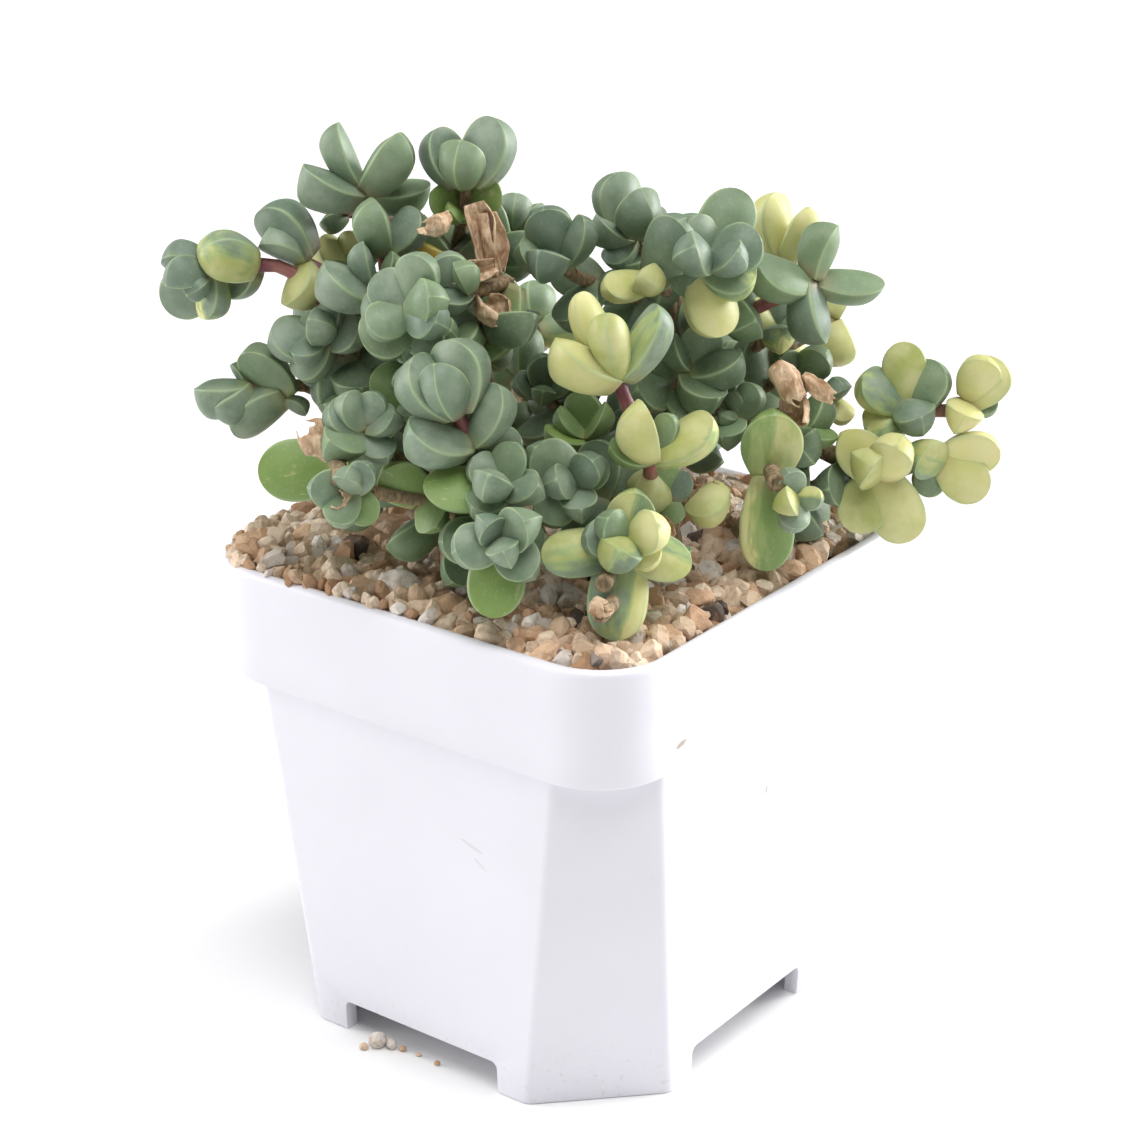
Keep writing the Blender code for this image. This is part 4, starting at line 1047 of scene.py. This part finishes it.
def growLeaf(leaves, own, others, base, tip, axis, breadth, tint):
    # the largest leaf that has room, if any
    size = 1.0
    while size > leafSizes["smallest"]:
        rings, end, turn = leafBox(base, tip, axis, breadth, size, leafSizes["gap"])
        room = roomTaken(loft(rings, end))
        if clear(room, others):
            own.append(room)
            sizes = (breadth * size, (tip - base).length * size, breadth * size)
            leaves.append({"base": base, "turn": turn.to_euler("XYZ")[:], "size": sizes, "tint": tint})
            return
        size -= leafSizes["sizeStep"]


def growOlderLeaves(leaves, own, others, path):
    # crossed pairs lower down on a twig, from as far down as its sheath has room
    sheath = leafSizes["sheath"] + leafSizes["gap"]
    for lowest in range(1, len(path) - 1):
        room = roomTaken(tube(path[lowest:], sheath, sheath, stemSizes["roomSides"]))
        step = (path[lowest + 1] - path[lowest]).length
        if step > leafSizes["olderSpacing"] and clear(room, others):
            break
    else:
        return
    own.append(room)
    reach = leafSizes["olderReach"]
    for k in range(lowest, len(path) - 1):
        along = (path[k + 1] - path[k]).normalized()
        across = along.cross(Vector((0, 0, 1))).normalized()
        if k % 2:
            across = (across + along.cross(across)).normalized()
        other = along.cross(across)
        for step, way in enumerate((across, -across, other, -other)):
            foot = path[k] + along * leafSizes["whorlStep"] * (step // 2)
            base = foot - way * leafSizes["olderOverlap"]
            tip = foot + (way + along * leafSizes["olderLean"]) * reach
            # older leaves take the G tint, whose painted shade darkens them for their place inside the
            # plant
            growLeaf(leaves, own, others, base, tip, along, leafSizes["breadth"] * reach, "G")


def makeShoots(material):
    rng = random.Random(leafSizes["seed"])
    group = bpy.data.collections.new("leaf forms")
    sources = [leafSource(name, form, group) for name, form in leafForms.items()]
    recipe = shootRecipe()
    gap = leafSizes["gap"]
    taken = {"pot": [nodeRoom("pot")], "grit": [nodeRoom("grit_layer")]}
    coarse, twigs = stemRuns(stemSizes["roomSteps"])
    for stem, runs in coarse.items():
        taken[stem] = [roomTaken(tube(path, start + gap, end + gap, stemSizes["roomSides"]))
                       for path, start, end, _young in runs]
    for name, (_stem, _after, whorls) in shoots.items():
        taken[name] = [roomTaken(bm) for bm in hearts(whorls, gap)]
    grown = {name: [] for name in shoots}
    for name, (stem, _after, whorls) in shoots.items():
        others = roomsOfOthers(taken, name, stem)
        for centre, leaves in whorls:
            core, axis = place(*centre), whorlAxis(leaves)
            for k, leaf in enumerate(leaves):
                letter = leaf[3] if len(leaf) > 3 else "g"
                base = core + axis * leafSizes["whorlStep"] * (k // 2)
                tip = core + spot(*leaf[:3])
                breadth = leafSizes["breadth"] * (tip - base).length
                if len(leaf) > 4:
                    breadth = leaf[4] * mm
                growLeaf(grown[name], taken[name], others, base, tip, axis, breadth, letter)
    for name, (stem, after, _whorls) in shoots.items():
        if after is None and name not in bareTwigs:
            growOlderLeaves(grown[name], taken[name], roomsOfOthers(taken, name, stem), twigs[name])
    slots = {s["node"]: s["material_slot"] for s in frame["record"]["subparts"]}
    for name, leaves in grown.items():
        mesh = bpy.data.meshes.new(name)
        mesh.from_pydata([leaf["base"] for leaf in leaves], [], [])
        for label in ("turn", "size"):
            values = [x for leaf in leaves for x in leaf[label]]
            mesh.attributes.new(label, "FLOAT_VECTOR", "POINT").data.foreach_set("vector", values)
        kinds = [2 if leaf["tint"] in "bo" else rng.choice((0, 0, 1)) for leaf in leaves]
        mesh.attributes.new("form", "INT", "POINT").data.foreach_set("value", kinds)
        for k, label in enumerate(("yellow", "old", "dark", "withered")):
            values = [leafTints[leaf["tint"]][k] + rng.uniform(-0.05, 0.05) for leaf in leaves]
            mesh.attributes.new(label, "FLOAT", "POINT").data.foreach_set("value", values)
        seeds = [rng.random() for leaf in leaves]
        mesh.attributes.new("seed", "FLOAT", "POINT").data.foreach_set("value", seeds)
        values = {"Leaves": group, "Plumpness": leafSizes["plumpness"], "Material": material}
        label = name.replace("leaves_", "") + "_leaves"
        piece = recipe.make(shown(name + "_points", mesh), label, values)
        keep(piece, slots[name], name)
    for source in sources:
        bpy.data.objects.remove(source)
    print("leaves:", sum(len(leaves) for leaves in grown.values()), "in", len(grown), "shoots")


def leafLook():
    look = Look("succulent leaf")
    where = look.where()
    own = look.attribute("leafPlace", "Vector")
    x, y, z = look.parts(own)
    ridge, yellow = look.attribute("ridge"), look.attribute("yellow")
    old, dark, seed = look.attribute("old"), look.attribute("dark"), look.attribute("seed")
    # variegation runs lengthwise: a leaf is yellow on one side of a wavering line
    turn = seed * 6.28
    side = x * turn.math("COSINE") * 2.0 + (z + 0.18) * turn.math("SINE") * 1.6
    shift = look.vector("SCALE", (13.0, 7.0, 5.0), scale=seed)
    long = look.vector("ADD", look.vector("MULTIPLY", own, (3.2, 0.9, 3.2)), shift)
    streak = look.speckle(long, 1.3, 3.0, 0.55)
    share = side * 0.42 + (streak - 0.5) * 0.9 + yellow * 1.9 - 0.95
    yellowShare = share.rise(-0.03, 0.14)
    limeShare = share.rise(-0.22, 0.02)
    cloud = look.speckle(where, 230.0, 3.0)
    fine = look.speckle(where, 2600.0, 2.0)
    dots = 1 - look.cells(where, 1100.0).rise(0.18, 0.34)
    green = look.mix(cloud.rise(0.3, 0.7), (0.160, 0.222, 0.165), (0.285, 0.345, 0.268))
    fresh = (seed * 7.31).math("FRACT")
    green = look.mix(fresh.rise(0.45, 0.95) * 0.55, green, (0.185, 0.270, 0.130))
    green = look.mix((1 - fresh).rise(0.60, 1.0) * 0.50, green, (0.105, 0.160, 0.128))
    green = look.mix(old, green, look.mix(cloud, (0.165, 0.275, 0.060), (0.260, 0.370, 0.105)))
    # painted shade: leaves inside the plant, by their tint, are darkened towards deep green
    green = look.mix(dark * 0.8, green, (0.050, 0.085, 0.050))
    green = look.mix(dots * 0.10, green, (0.42, 0.50, 0.36))
    withered = look.attribute("withered")
    lime = look.mix(cloud, (0.30, 0.40, 0.13), (0.40, 0.48, 0.20))
    cream = look.mix(seed, (0.33, 0.38, 0.10), (0.64, 0.62, 0.25))
    cream = look.mix(cloud.rise(0.25, 0.75) * 0.5, cream, (0.74, 0.70, 0.42))
    colour = look.mix(limeShare * 0.85, green, lime)
    colour = look.mix(yellowShare, colour, cream)
    gold = look.mix(cloud.rise(0.35, 0.65), (0.62, 0.36, 0.05), (0.74, 0.56, 0.12))
    colour = look.mix((withered + (streak - 0.5) * 0.8).rise(0.3, 0.7), colour, gold)
    short = look.vector("ADD", look.vector("MULTIPLY", own, (7.0, 2.2, 7.0)), shift)
    scars = look.speckle(short, 1.2, 4.0, 0.7)
    colour = look.mix(scars.rise(0.61, 0.67) * old.rise(0.55, 0.8) * 0.45, colour, (0.50, 0.48, 0.26))
    foot = 1 - y.rise(0.02, 0.30)
    colour = look.mix(foot * 0.42, colour, look.mix(seed, (0.42, 0.44, 0.16), (0.36, 0.20, 0.14)))
    line = ridge.rise(0.50, 0.95)
    colour = look.mix(ridge.rise(0.0, 0.8) * 0.34, colour, (0.30, 0.43, 0.20))
    colour = look.mix(line * (0.46 - yellowShare * 0.28), colour, (0.46, 0.57, 0.35))
    look.set(Base_Color=colour, Roughness=fine * 0.12 + cloud * 0.10 + 0.36, Metallic=0.0)
    look.set(Normal=look.bump(fine * 0.5 + cloud * 0.3, 0.00012, 0.5))
    look.set(Subsurface_Weight=0.12, Subsurface_Scale=0.0015, Specular_IOR_Level=0.40)
    return look.material


grit = {
    "edge": 74.2 * mm,
    "crown": 2.6 * mm,
    "heap": 0.9 * mm,  # how far the loose grains stand above the bed
    "mixTop": 67.0 * mm,
    "bank": 1.6 * mm,  # how much higher it lies in the left corner
    "cells": 60,
    "spacing": 2.0 * mm,
    "small": 1.15 * mm,
    "large": 2.9 * mm,
    "seed": 5,
    "lump": 0.9 * mm,
    "bedDrop": 2.6 * mm,  # how far the bed lies below the tops of the grains
    "grainForms": 8,
    "pebbleSeed": 21,
}

# the larger pebbles: across, toward, up and size in mm, then tint from 0 tan to 1 pale grey
pebbles = [
    ((-26, 2, 78.0), 3.0, 0.60),
    ((-29.5, 7, 77.5), 3.2, 0.66),
    ((-23.5, 22, 77.0), 3.3, 0.90),
    ((-27, 20, 76.5), 2.2, 0.15),
    ((-33, 8, 77.5), 2.4, 0.86),
    ((36, -4, 77.0), 2.6, 0.84),
    ((-16, 29, 76.5), 2.4, 0.70),
    ((-10, 38, 76.0), 2.3, 0.20),
    ((10, 38, 76.0), 2.5, 0.30),
    ((20, 26, 76.5), 2.3, 0.82),
]

# crumbs spilled on the ground at the front left foot: across, toward, radius in mm and tint
crumbs = [
    ((-28.5, 24.5), 1.5, 0.95),
    ((-26.3, 25.0), 1.0, 0.90),
    ((-30.6, 25.5), 0.7, 0.55),
    ((-24.5, 26.0), 0.6, 0.60),
    ((-22.0, 27.5), 0.45, 0.55),
    ((-19.0, 30.0), 0.5, 0.62),
]


def insideRim(u, v, half, radius):
    # a square's point at u, v from -1 to 1, drawn in at the round corners
    x, y = half * u, half * v
    inner = half - radius
    over = Vector((max(abs(x) - inner, 0), max(abs(y) - inner, 0)))
    far = max(over.x, over.y)
    if over.length > 0:
        over *= far / over.length
        x = math.copysign(min(abs(x), inner) + over.x, x)
        y = math.copysign(min(abs(y), inner) + over.y, y)
    return x, y


def gritBed(inset, drop):
    # the mounded top of the grit, less an inset at the rim and a drop in height
    half = rimHalf - pot["lip"] - 0.3 * mm - inset
    radius = pot["rimCorner"] - pot["lip"] - inset
    cells = grit["cells"]
    bm = bmesh.new()
    top = {}
    for i in range(cells + 1):
        for j in range(cells + 1):
            x, y = insideRim(2 * i / cells - 1, 2 * j / cells - 1, half, radius)
            reach = max(abs(x), abs(y)) / (rimHalf - pot["lip"])
            lump = grit["lump"] * noise.noise(Vector((x, y, 0.0)) * 130.0)
            away = ((x + 0.85 * half) ** 2 + (y + 0.85 * half) ** 2) / (0.5 * half) ** 2
            lump += grit["bank"] * math.exp(-away)
            height = grit["edge"] + grit["crown"] * (1 - reach**2) + lump + grit["heap"] - drop
            top[i, j] = bm.verts.new(potCentre + Vector((x, y, height)))
    for i in range(cells):
        for j in range(cells):
            bm.faces.new((top[i, j], top[i + 1, j], top[i + 1, j + 1], top[i, j + 1]))
    return bm


def makeGritBed(material):
    # the mounded top, closed by a skirt down to the potting mix and a flat underside
    bm = gritBed(0.0, grit["bedDrop"])
    bm.verts.ensure_lookup_table()
    cells = grit["cells"]
    border = [(i, 0) for i in range(cells)] + [(cells, j) for j in range(cells)]
    border += [(i, cells) for i in range(cells, 0, -1)] + [(0, j) for j in range(cells, 0, -1)]
    rim = [bm.verts[i * (cells + 1) + j] for i, j in border]
    level = potCentre.z + grit["mixTop"] + 0.3 * mm
    low = [bm.verts.new((vert.co.x, vert.co.y, level)) for vert in rim]
    for k in range(len(rim)):
        after = (k + 1) % len(rim)
        bm.faces.new((rim[k], low[k], low[after], rim[after]))
    bm.faces.new(low)
    bmesh.ops.recalc_face_normals(bm, faces=bm.faces)
    bed = shown("grit_bed", meshOf("grit_bed", bm))
    bed.data.materials.append(material)
    bed.data.shade_smooth()
    keep(bed, "grit", "grit_layer")


def spillStrip():
    # the part of the lip, round the left corner, that grains have spilled over
    bm = bmesh.new()
    last = None
    for k in range(49):
        share = k / 48
        u = max(-1.0, 0.15 - 2.75 * share)
        v = -1.0 if u > -1.0 else -1.0 + 2.75 * (share - 1.15 / 2.75)
        wide = pot["lip"] * (0.15 + 0.55 * math.sin(math.pi * share) ** 0.6)
        ends = []
        for inset in (pot["lip"] * 1.15, pot["lip"] * 1.15 - wide):
            x, y = insideRim(u, v, rimHalf - inset, pot["rimCorner"] - inset)
            ends.append(bm.verts.new(potCentre + Vector((x, y, potHeight + 0.35 * mm))))
        if last:
            bm.faces.new((last[0], ends[0], ends[1], last[1]))
        last = ends
    bmesh.ops.recalc_face_normals(bm, faces=bm.faces)
    return bm


def grainSource(name, seed, group):
    # one angular grain of radius 1: a ball with flats cut by random planes
    rng = random.Random(seed)
    bm = bmesh.new()
    bmesh.ops.create_icosphere(bm, subdivisions=2, radius=1.0)
    planes = []
    for _k in range(10):
        way = Vector((rng.gauss(0, 1), rng.gauss(0, 1), rng.gauss(0, 1))).normalized()
        planes.append((way, rng.uniform(0.50, 0.80)))
    stretch = Vector((rng.uniform(0.85, 1.25), rng.uniform(0.8, 1.1), rng.uniform(0.62, 0.95)))
    for vert in bm.verts:
        for way, reach in planes:
            over = vert.co.dot(way) - reach
            if over > 0:
                vert.co -= way * over
        vert.co *= 1 + 0.10 * noise.noise(vert.co * 2.3 + Vector((seed, 0, 0)))
        vert.co = vert.co * stretch
    made = bpy.data.objects.new(name, meshOf(name, bm))
    group.objects.link(made)
    return made


def grainRecipe():
    # scatters grains over a surface, each turned, sized and tinted at random
    recipe = Recipe("grains", {
        "Grains": ("Collection", None),
        "Spacing": ("Float", 0.002),
        "Smallest": ("Float", 0.001),
        "Largest": ("Float", 0.0017),
        "Seed": ("Int", 0),
        "Material": ("Material", None),
    })
    seed = recipe.given("Seed")
    inputs = {
        "Mesh": recipe.given("Geometry"),
        "Distance Min": recipe.given("Spacing"),
        "Density Max": 3.0e6,  # more than the spacing lets through
        "Seed": seed,
    }
    points = recipe.node("GeometryNodeDistributePointsOnFaces", {"distribute_method": "POISSON"}, inputs)
    for label in ("tint", "shade"):
        offset = recipe.node("FunctionNodeIntegerMath", {"operation": "ADD"}, {0: seed, 1: len(label)})
        value = recipe.node("FunctionNodeRandomValue", {"data_type": "FLOAT"},
                            {"Min": 0.0, "Max": 1.0, "Seed": offset}, output="Value")
        points = recipe.node("GeometryNodeStoreNamedAttribute", {"data_type": "FLOAT", "domain": "POINT"},
                             {"Geometry": points, "Name": label, "Value": value})
    inputs = {"Collection": recipe.given("Grains"), "Separate Children": True, "Reset Children": True}
    grains = recipe.node("GeometryNodeCollectionInfo", None, inputs)
    turn = recipe.node("FunctionNodeRandomValue", {"data_type": "FLOAT_VECTOR"},
                       {0: (0.0, 0.0, 0.0), 1: (6.28, 6.28, 6.28), "Seed": seed})
    turn = recipe.node("FunctionNodeEulerToRotation", None, {"Euler": turn})
    size = recipe.node("FunctionNodeRandomValue", {"data_type": "FLOAT"},
                       {2: recipe.given("Smallest"), 3: recipe.given("Largest"), "Seed": seed},
                       output="Value")
    pick = recipe.node("FunctionNodeRandomValue", {"data_type": "INT"}, {4: 0, 5: 100, "Seed": seed},
                       output=2)
    inputs = {"Points": points, "Instance": grains, "Pick Instance": True, "Instance Index": pick,
              "Rotation": turn, "Scale": size}
    whole = recipe.node("GeometryNodeInstanceOnPoints", None, inputs)
    recipe.finish(whole, recipe.given("Material"))
    return recipe


def makeGrains(material):
    group = bpy.data.collections.new("grains")
    sources = [grainSource(f"grain_{k}", k, group) for k in range(grit["grainForms"])]
    recipe = grainRecipe()
    layers = [
        ("grit_grains_upper", gritBed(1.3 * mm, 0.0), 1.0, 0),
        ("grit_grains_lower", gritBed(1.0 * mm, 1.4 * mm), 1.0, 9),
        ("grit_grains_spilled", spillStrip(), 0.66, 4),
    ]
    for name, surface, scale, turn in layers:
        values = {
            "Grains": group,
            "Spacing": grit["spacing"] * scale,
            "Smallest": grit["small"] * scale,
            "Largest": grit["large"] * scale,
            "Seed": grit["seed"] + turn,
            "Material": material,
        }
        piece = recipe.make(shown(name + "_surface", meshOf(name, surface)), name, values)
        keep(piece, "grit")
        print(name, len(piece.data.polygons), "faces")
    for source in sources:
        bpy.data.objects.remove(source)


def makePebbles(material):
    rng = random.Random(grit["pebbleSeed"])
    whole = bmesh.new()
    tint = whole.verts.layers.float.new("tint")
    shade = whole.verts.layers.float.new("shade")
    stones = [(place(*centre), size, pale) for centre, size, pale in pebbles]
    stones += [(place(*centre, size * 0.7), size, pale) for centre, size, pale in crumbs]
    for centre, size, pale in stones:
        spin = Matrix.Rotation(rng.uniform(0, 6.28), 3, "Z")
        start = len(whole.verts)
        bmesh.ops.create_icosphere(whole, subdivisions=4, radius=1.0)
        whole.verts.ensure_lookup_table()
        stretch = Vector((rng.uniform(0.9, 1.3), rng.uniform(0.8, 1.0), rng.uniform(0.6, 0.8)))
        shift = Vector((rng.uniform(0, 9), 0, 0))
        for vert in whole.verts[start:]:
            p = vert.co.copy()
            p *= 1 + 0.22 * noise.noise(p * 1.4 + shift) + 0.07 * noise.noise(p * 4.0 + shift)
            vert.co = centre + spin @ (p * stretch) * size * mm
            vert[tint] = pale
            vert[shade] = 0.6
    pieces = shown("grit_pebbles", meshOf("grit_pebbles", whole))
    pieces.data.materials.append(material)
    pieces.data.shade_smooth()
    keep(pieces, "grit")


def gritLook():
    look = Look("tan grit")
    where = look.where()
    tint, shade = look.attribute("tint"), look.attribute("shade")
    pores = look.speckle(where, 2400.0, 4.0, 0.7)
    cloud = look.speckle(where, 700.0, 3.0)
    tan = look.mix(shade, (0.54, 0.385, 0.255), (0.95, 0.79, 0.62))
    rust = look.mix(shade, (0.38, 0.215, 0.12), (0.78, 0.53, 0.35))
    grey = look.mix(shade, (0.50, 0.43, 0.37), (0.90, 0.84, 0.77))
    colour = look.mix(tint.rise(0.52, 0.62), tan, rust)
    colour = look.mix(tint.rise(0.82, 0.85), colour, grey)
    colour = look.mix(tint.rise(0.982, 0.984), colour, (0.11, 0.085, 0.07))
    colour = look.mix(cloud.rise(0.46, 0.70) * 0.55, colour, (0.36, 0.225, 0.13))
    colour = look.mix(pores.rise(0.56, 0.70) * 0.24, colour, (0.24, 0.165, 0.11))
    look.set(Base_Color=colour, Roughness=0.82 + pores * 0.15, Metallic=0.0)
    look.set(Normal=look.bump(pores + cloud * 0.6, 0.00035, 0.8))
    look.set(Specular_IOR_Level=0.3)
    return look.material


def soilLook(name, deep, pale):
    look = Look(name)
    where = look.where()
    crumbs = look.speckle(where, 900.0, 6.0, 0.75)
    bits = look.cells(where, 500.0)
    colour = look.mix(crumbs.rise(0.35, 0.7), deep, pale)
    look.set(Base_Color=colour, Roughness=0.95, Metallic=0.0)
    look.set(Normal=look.bump(crumbs + bits, 0.0008, 1.0))
    return look.material


huskSizes = {
    "rows": 16,
    "columns": 26,
    "thickness": 0.14 * mm,
}

# papery husks: place, the way the sheet opens, its width and length, all in mm, and its seed
husks = [
    ((-12.5, 9, 130.5), (2.5, 2, -9), 2.6, 10.5, 3),
    ((-10.0, 8, 129.0), (1.0, 2, -8), 2.8, 9.0, 14),
    ((-16.5, 10, 129.5), (-5, 4, -2), 4.2, 4.6, 4),
    ((-11.0, 15, 118.5), (4, 5, -3), 3.8, 5.0, 5),
    ((-9.0, 14, 123.0), (-6, 3, -1), 2.6, 7.0, 15),
    ((-32.0, 24, 98.5), (-4, 3, 5), 4.4, 6.5, 6),
    ((-30.5, 31, 93.5), (-1, 6, 3), 3.2, 4.0, 7),
    ((31.0, 12, 107.0), (5, 4, -5), 3.4, 6.4, 8),
    ((35.5, 12, 105.5), (6, 4, -3), 2.9, 5.6, 9),
    ((33.5, 12, 103.0), (2, 5, -6), 3.2, 5.2, 16),
    ((14.0, 27, 90.0), (2, 5, -2), 2.6, 4.5, 10),
    ((5.0, 44, 83.0), (3, 5, 2), 2.4, 3.6, 11),
]


def makeHusk(index, husk, material):
    # a crumpled open sheath, dried round the stem
    centre, way, width, length, seed = husk
    rng = random.Random(seed)
    along = spot(*way).normalized()
    side = along.orthogonal().normalized()
    other = along.cross(side)
    start = rng.uniform(0, 6.28)
    sweep = rng.uniform(2.6, 4.4)
    bm = bmesh.new()
    rows, columns = huskSizes["rows"], huskSizes["columns"]
    grid = []
    for r in range(rows + 1):
        s = r / rows
        line = []
        for c in range(columns + 1):
            t = c / columns
            ragged = 1 + 0.18 * noise.noise(Vector((t * 5.0, seed, 0.0)))
            a = start + sweep * (t - 0.5) * (1 + 0.2 * s)
            bell = width * 0.5 * (0.45 + 0.75 * math.sin(math.pi * min(1.0, 0.15 + 0.75 * s)))
            crease = 1 + 0.32 * noise.noise(Vector((t * 6.0, s * 2.2, seed)))
            crease += 0.12 * noise.noise(Vector((t * 17, s * 6, seed)))
            out = side * math.cos(a) + other * math.sin(a)
            drift = 0.12 * length * noise.noise(Vector((s * 2.0, seed * 3.1, t)))
            reach = out * bell * crease + along * length * s * ragged + side * drift
            p = place(*centre) + reach * mm
            line.append(bm.verts.new(p))
        grid.append(line)
    for lower, upper in zip(grid, grid[1:]):
        for c in range(columns):
            bm.faces.new((lower[c], lower[c + 1], upper[c + 1], upper[c]))
    made = shown(f"dry_husk_{index}", meshOf("dry_husk", bm))
    step = made.modifiers.new("paper", "SOLIDIFY")
    step.thickness = huskSizes["thickness"]
    step.offset = 0.0
    withModifiers(made)
    made.data.materials.append(material)
    made.data.shade_smooth()
    keep(made, "stem_bark")


def huskLook():
    look = Look("dry husk")
    where = look.where()
    cloud = look.speckle(where, 420.0, 4.0, 0.6)
    vein = look.speckle(look.vector("MULTIPLY", where, (1.0, 1.0, 0.25)), 1500.0, 4.0)
    colour = look.mix(cloud.rise(0.3, 0.7), (0.34, 0.19, 0.09), (0.74, 0.54, 0.36))
    colour = look.mix(vein.rise(0.5, 0.7) * 0.6, colour, (0.86, 0.72, 0.54))
    look.set(Base_Color=colour, Roughness=0.75, Metallic=0.0)
    look.set(Normal=look.bump(vein + cloud, 0.0004, 0.8))
    return look.material


# cut stem ends: place, the way it points and radius, in mm
stubs = [
    ((-30.5, 33, 97.5), (1, 5, -1), 1.3),
    ((6, 43.5, 86), (-1, 6, 0.5), 1.2),
    ((5.5, 46, 82.5), (-2, 5, 0), 1.2),
    ((31, 24, 93.5), (0.5, 6, 0), 1.3),
]


# from inside the stem to the hollow pith: place along the end in mm and share of the radius
stubProfile = [(-5.0, 0.95), (-1.2, 1.0), (-0.25, 1.06), (0.0, 0.98), (0.0, 0.62), (-0.25, 0.5),
               (-0.3, 0.2)]
stubSides = 20


def makeStubs(material):
    whole = bmesh.new()
    for centre, way, radius in stubs:
        along = spot(*way).normalized()
        side = along.orthogonal().normalized()
        other = along.cross(side)
        rings = []
        for shift, share in stubProfile:
            ring = []
            for k in range(stubSides):
                a = 2 * math.pi * k / stubSides
                where = Vector((math.cos(a) * 2, math.sin(a) * 2, shift + centre[0]))
                wobble = 1 + 0.08 * noise.noise(where)
                out = (side * math.cos(a) + other * math.sin(a)) * radius * share * wobble
                ring.append(whole.verts.new(place(*centre) + (along * shift + out) * mm))
            rings.append(ring)
        for lower, upper in zip(rings, rings[1:]):
            for k in range(stubSides):
                after = (k + 1) % stubSides
                whole.faces.new((lower[k], lower[after], upper[after], upper[k]))
        whole.faces.new(rings[0][::-1])
        whole.faces.new(rings[-1])
    bmesh.ops.recalc_face_normals(whole, faces=whole.faces)
    made = shown("cut_stem_ends", meshOf("cut_stem_ends", whole))
    made.data.materials.append(material)
    made.data.shade_smooth()
    keep(made, "stem_bark")


studio = {
    "floorHalf": 8.0,
    "world": 0.27,
    "lens": 88.3,
    "azimuth": math.radians(36.66),
    "elevation": math.radians(22.7),
    "distance": 442.7 * mm,
    "right": 1.46 * mm,
    "up": 27.7 * mm,
    "aim": 40.0 * mm,  # height on the pot's axis that the distance is measured from
}


# each light's name, its azimuth, elevation and width in degrees, and its strength
lights = [
    ("top light", 60, 76, 50, 2.75),
    ("right light", 150, 12, 30, 3.9),
    ("left light", -62, 14, 38, 2.05),
]


def makeFloor():
    look = Look("pale floor")
    look.set(Base_Color=(0.88, 0.88, 0.88, 1), Roughness=0.6, Metallic=0.0)
    bm = bmesh.new()
    bmesh.ops.create_grid(bm, x_segments=1, y_segments=1, size=studio["floorHalf"])
    floor = shown("floor", meshOf("floor", bm))
    floor.data.materials.append(look.material)


def makeLight(name, azimuth, elevation, softness, strength):
    # a broad soft light, far away
    lamp = bpy.data.lights.new(name, "SUN")
    lamp.angle = math.radians(softness)
    lamp.energy = strength
    made = bpy.data.objects.new(name, lamp)
    bpy.context.scene.collection.objects.link(made)
    a, e = math.radians(azimuth), math.radians(elevation)
    way = Vector((math.sin(a) * math.cos(e), -math.cos(a) * math.cos(e), math.sin(e)))
    made.rotation_euler = way.to_track_quat("Z", "Y").to_euler()


def makeStudio():
    scene = bpy.context.scene
    scene.view_settings.view_transform = "Standard"
    world = bpy.data.worlds.new("studio")
    world.use_nodes = True
    background = world.node_tree.nodes["Background"]
    background.inputs["Color"].default_value = (1.0, 1.0, 1.0, 1)
    background.inputs["Strength"].default_value = studio["world"]
    scene.world = world
    for light in lights:
        makeLight(*light)
    a, e = studio["azimuth"], studio["elevation"]
    back = Vector((math.sin(a) * math.cos(e), -math.cos(a) * math.cos(e), math.sin(e)))
    right = Vector((math.cos(a), math.sin(a), 0))
    up = back.cross(right)
    turn = Matrix((right, up, back)).transposed().to_4x4()
    aim = potCentre + Vector((0, 0, studio["aim"]))
    turn.translation = aim + back * studio["distance"] + right * studio["right"] + up * studio["up"]
    camera = bpy.data.cameras.new("camera")
    camera.lens = studio["lens"]
    camera.sensor_width = 36.0
    camera.clip_start = 0.01
    made = bpy.data.objects.new("camera", camera)
    scene.collection.objects.link(made)
    made.matrix_world = turn
    scene.camera = made


makePot(plasticLook())
print("pot made")
bark, dryPaper = barkLook(), huskLook()
makeStems(bark)
makeStubs(bark)
print("stems made")
makeShoots(leafLook())
stone = gritLook()
# the bed seen between the grains: dust brown, taken near black as painted shade in the gaps
makeGritBed(soilLook("grit dust and painted gap shade", (0.050, 0.032, 0.020), (0.27, 0.18, 0.11)))
makeGrains(stone)
makePebbles(stone)
mix = frame["nodes"]["potting_mix"].data
mix.materials.clear()
mix.materials.append(soilLook("potting mix", (0.018, 0.012, 0.008), (0.10, 0.065, 0.04)))
print("grit made")
for index, husk in enumerate(husks):
    makeHusk(index, husk, dryPaper)
print("husks made")
makeFloor()
makeStudio()

bpy.context.view_layer.update()
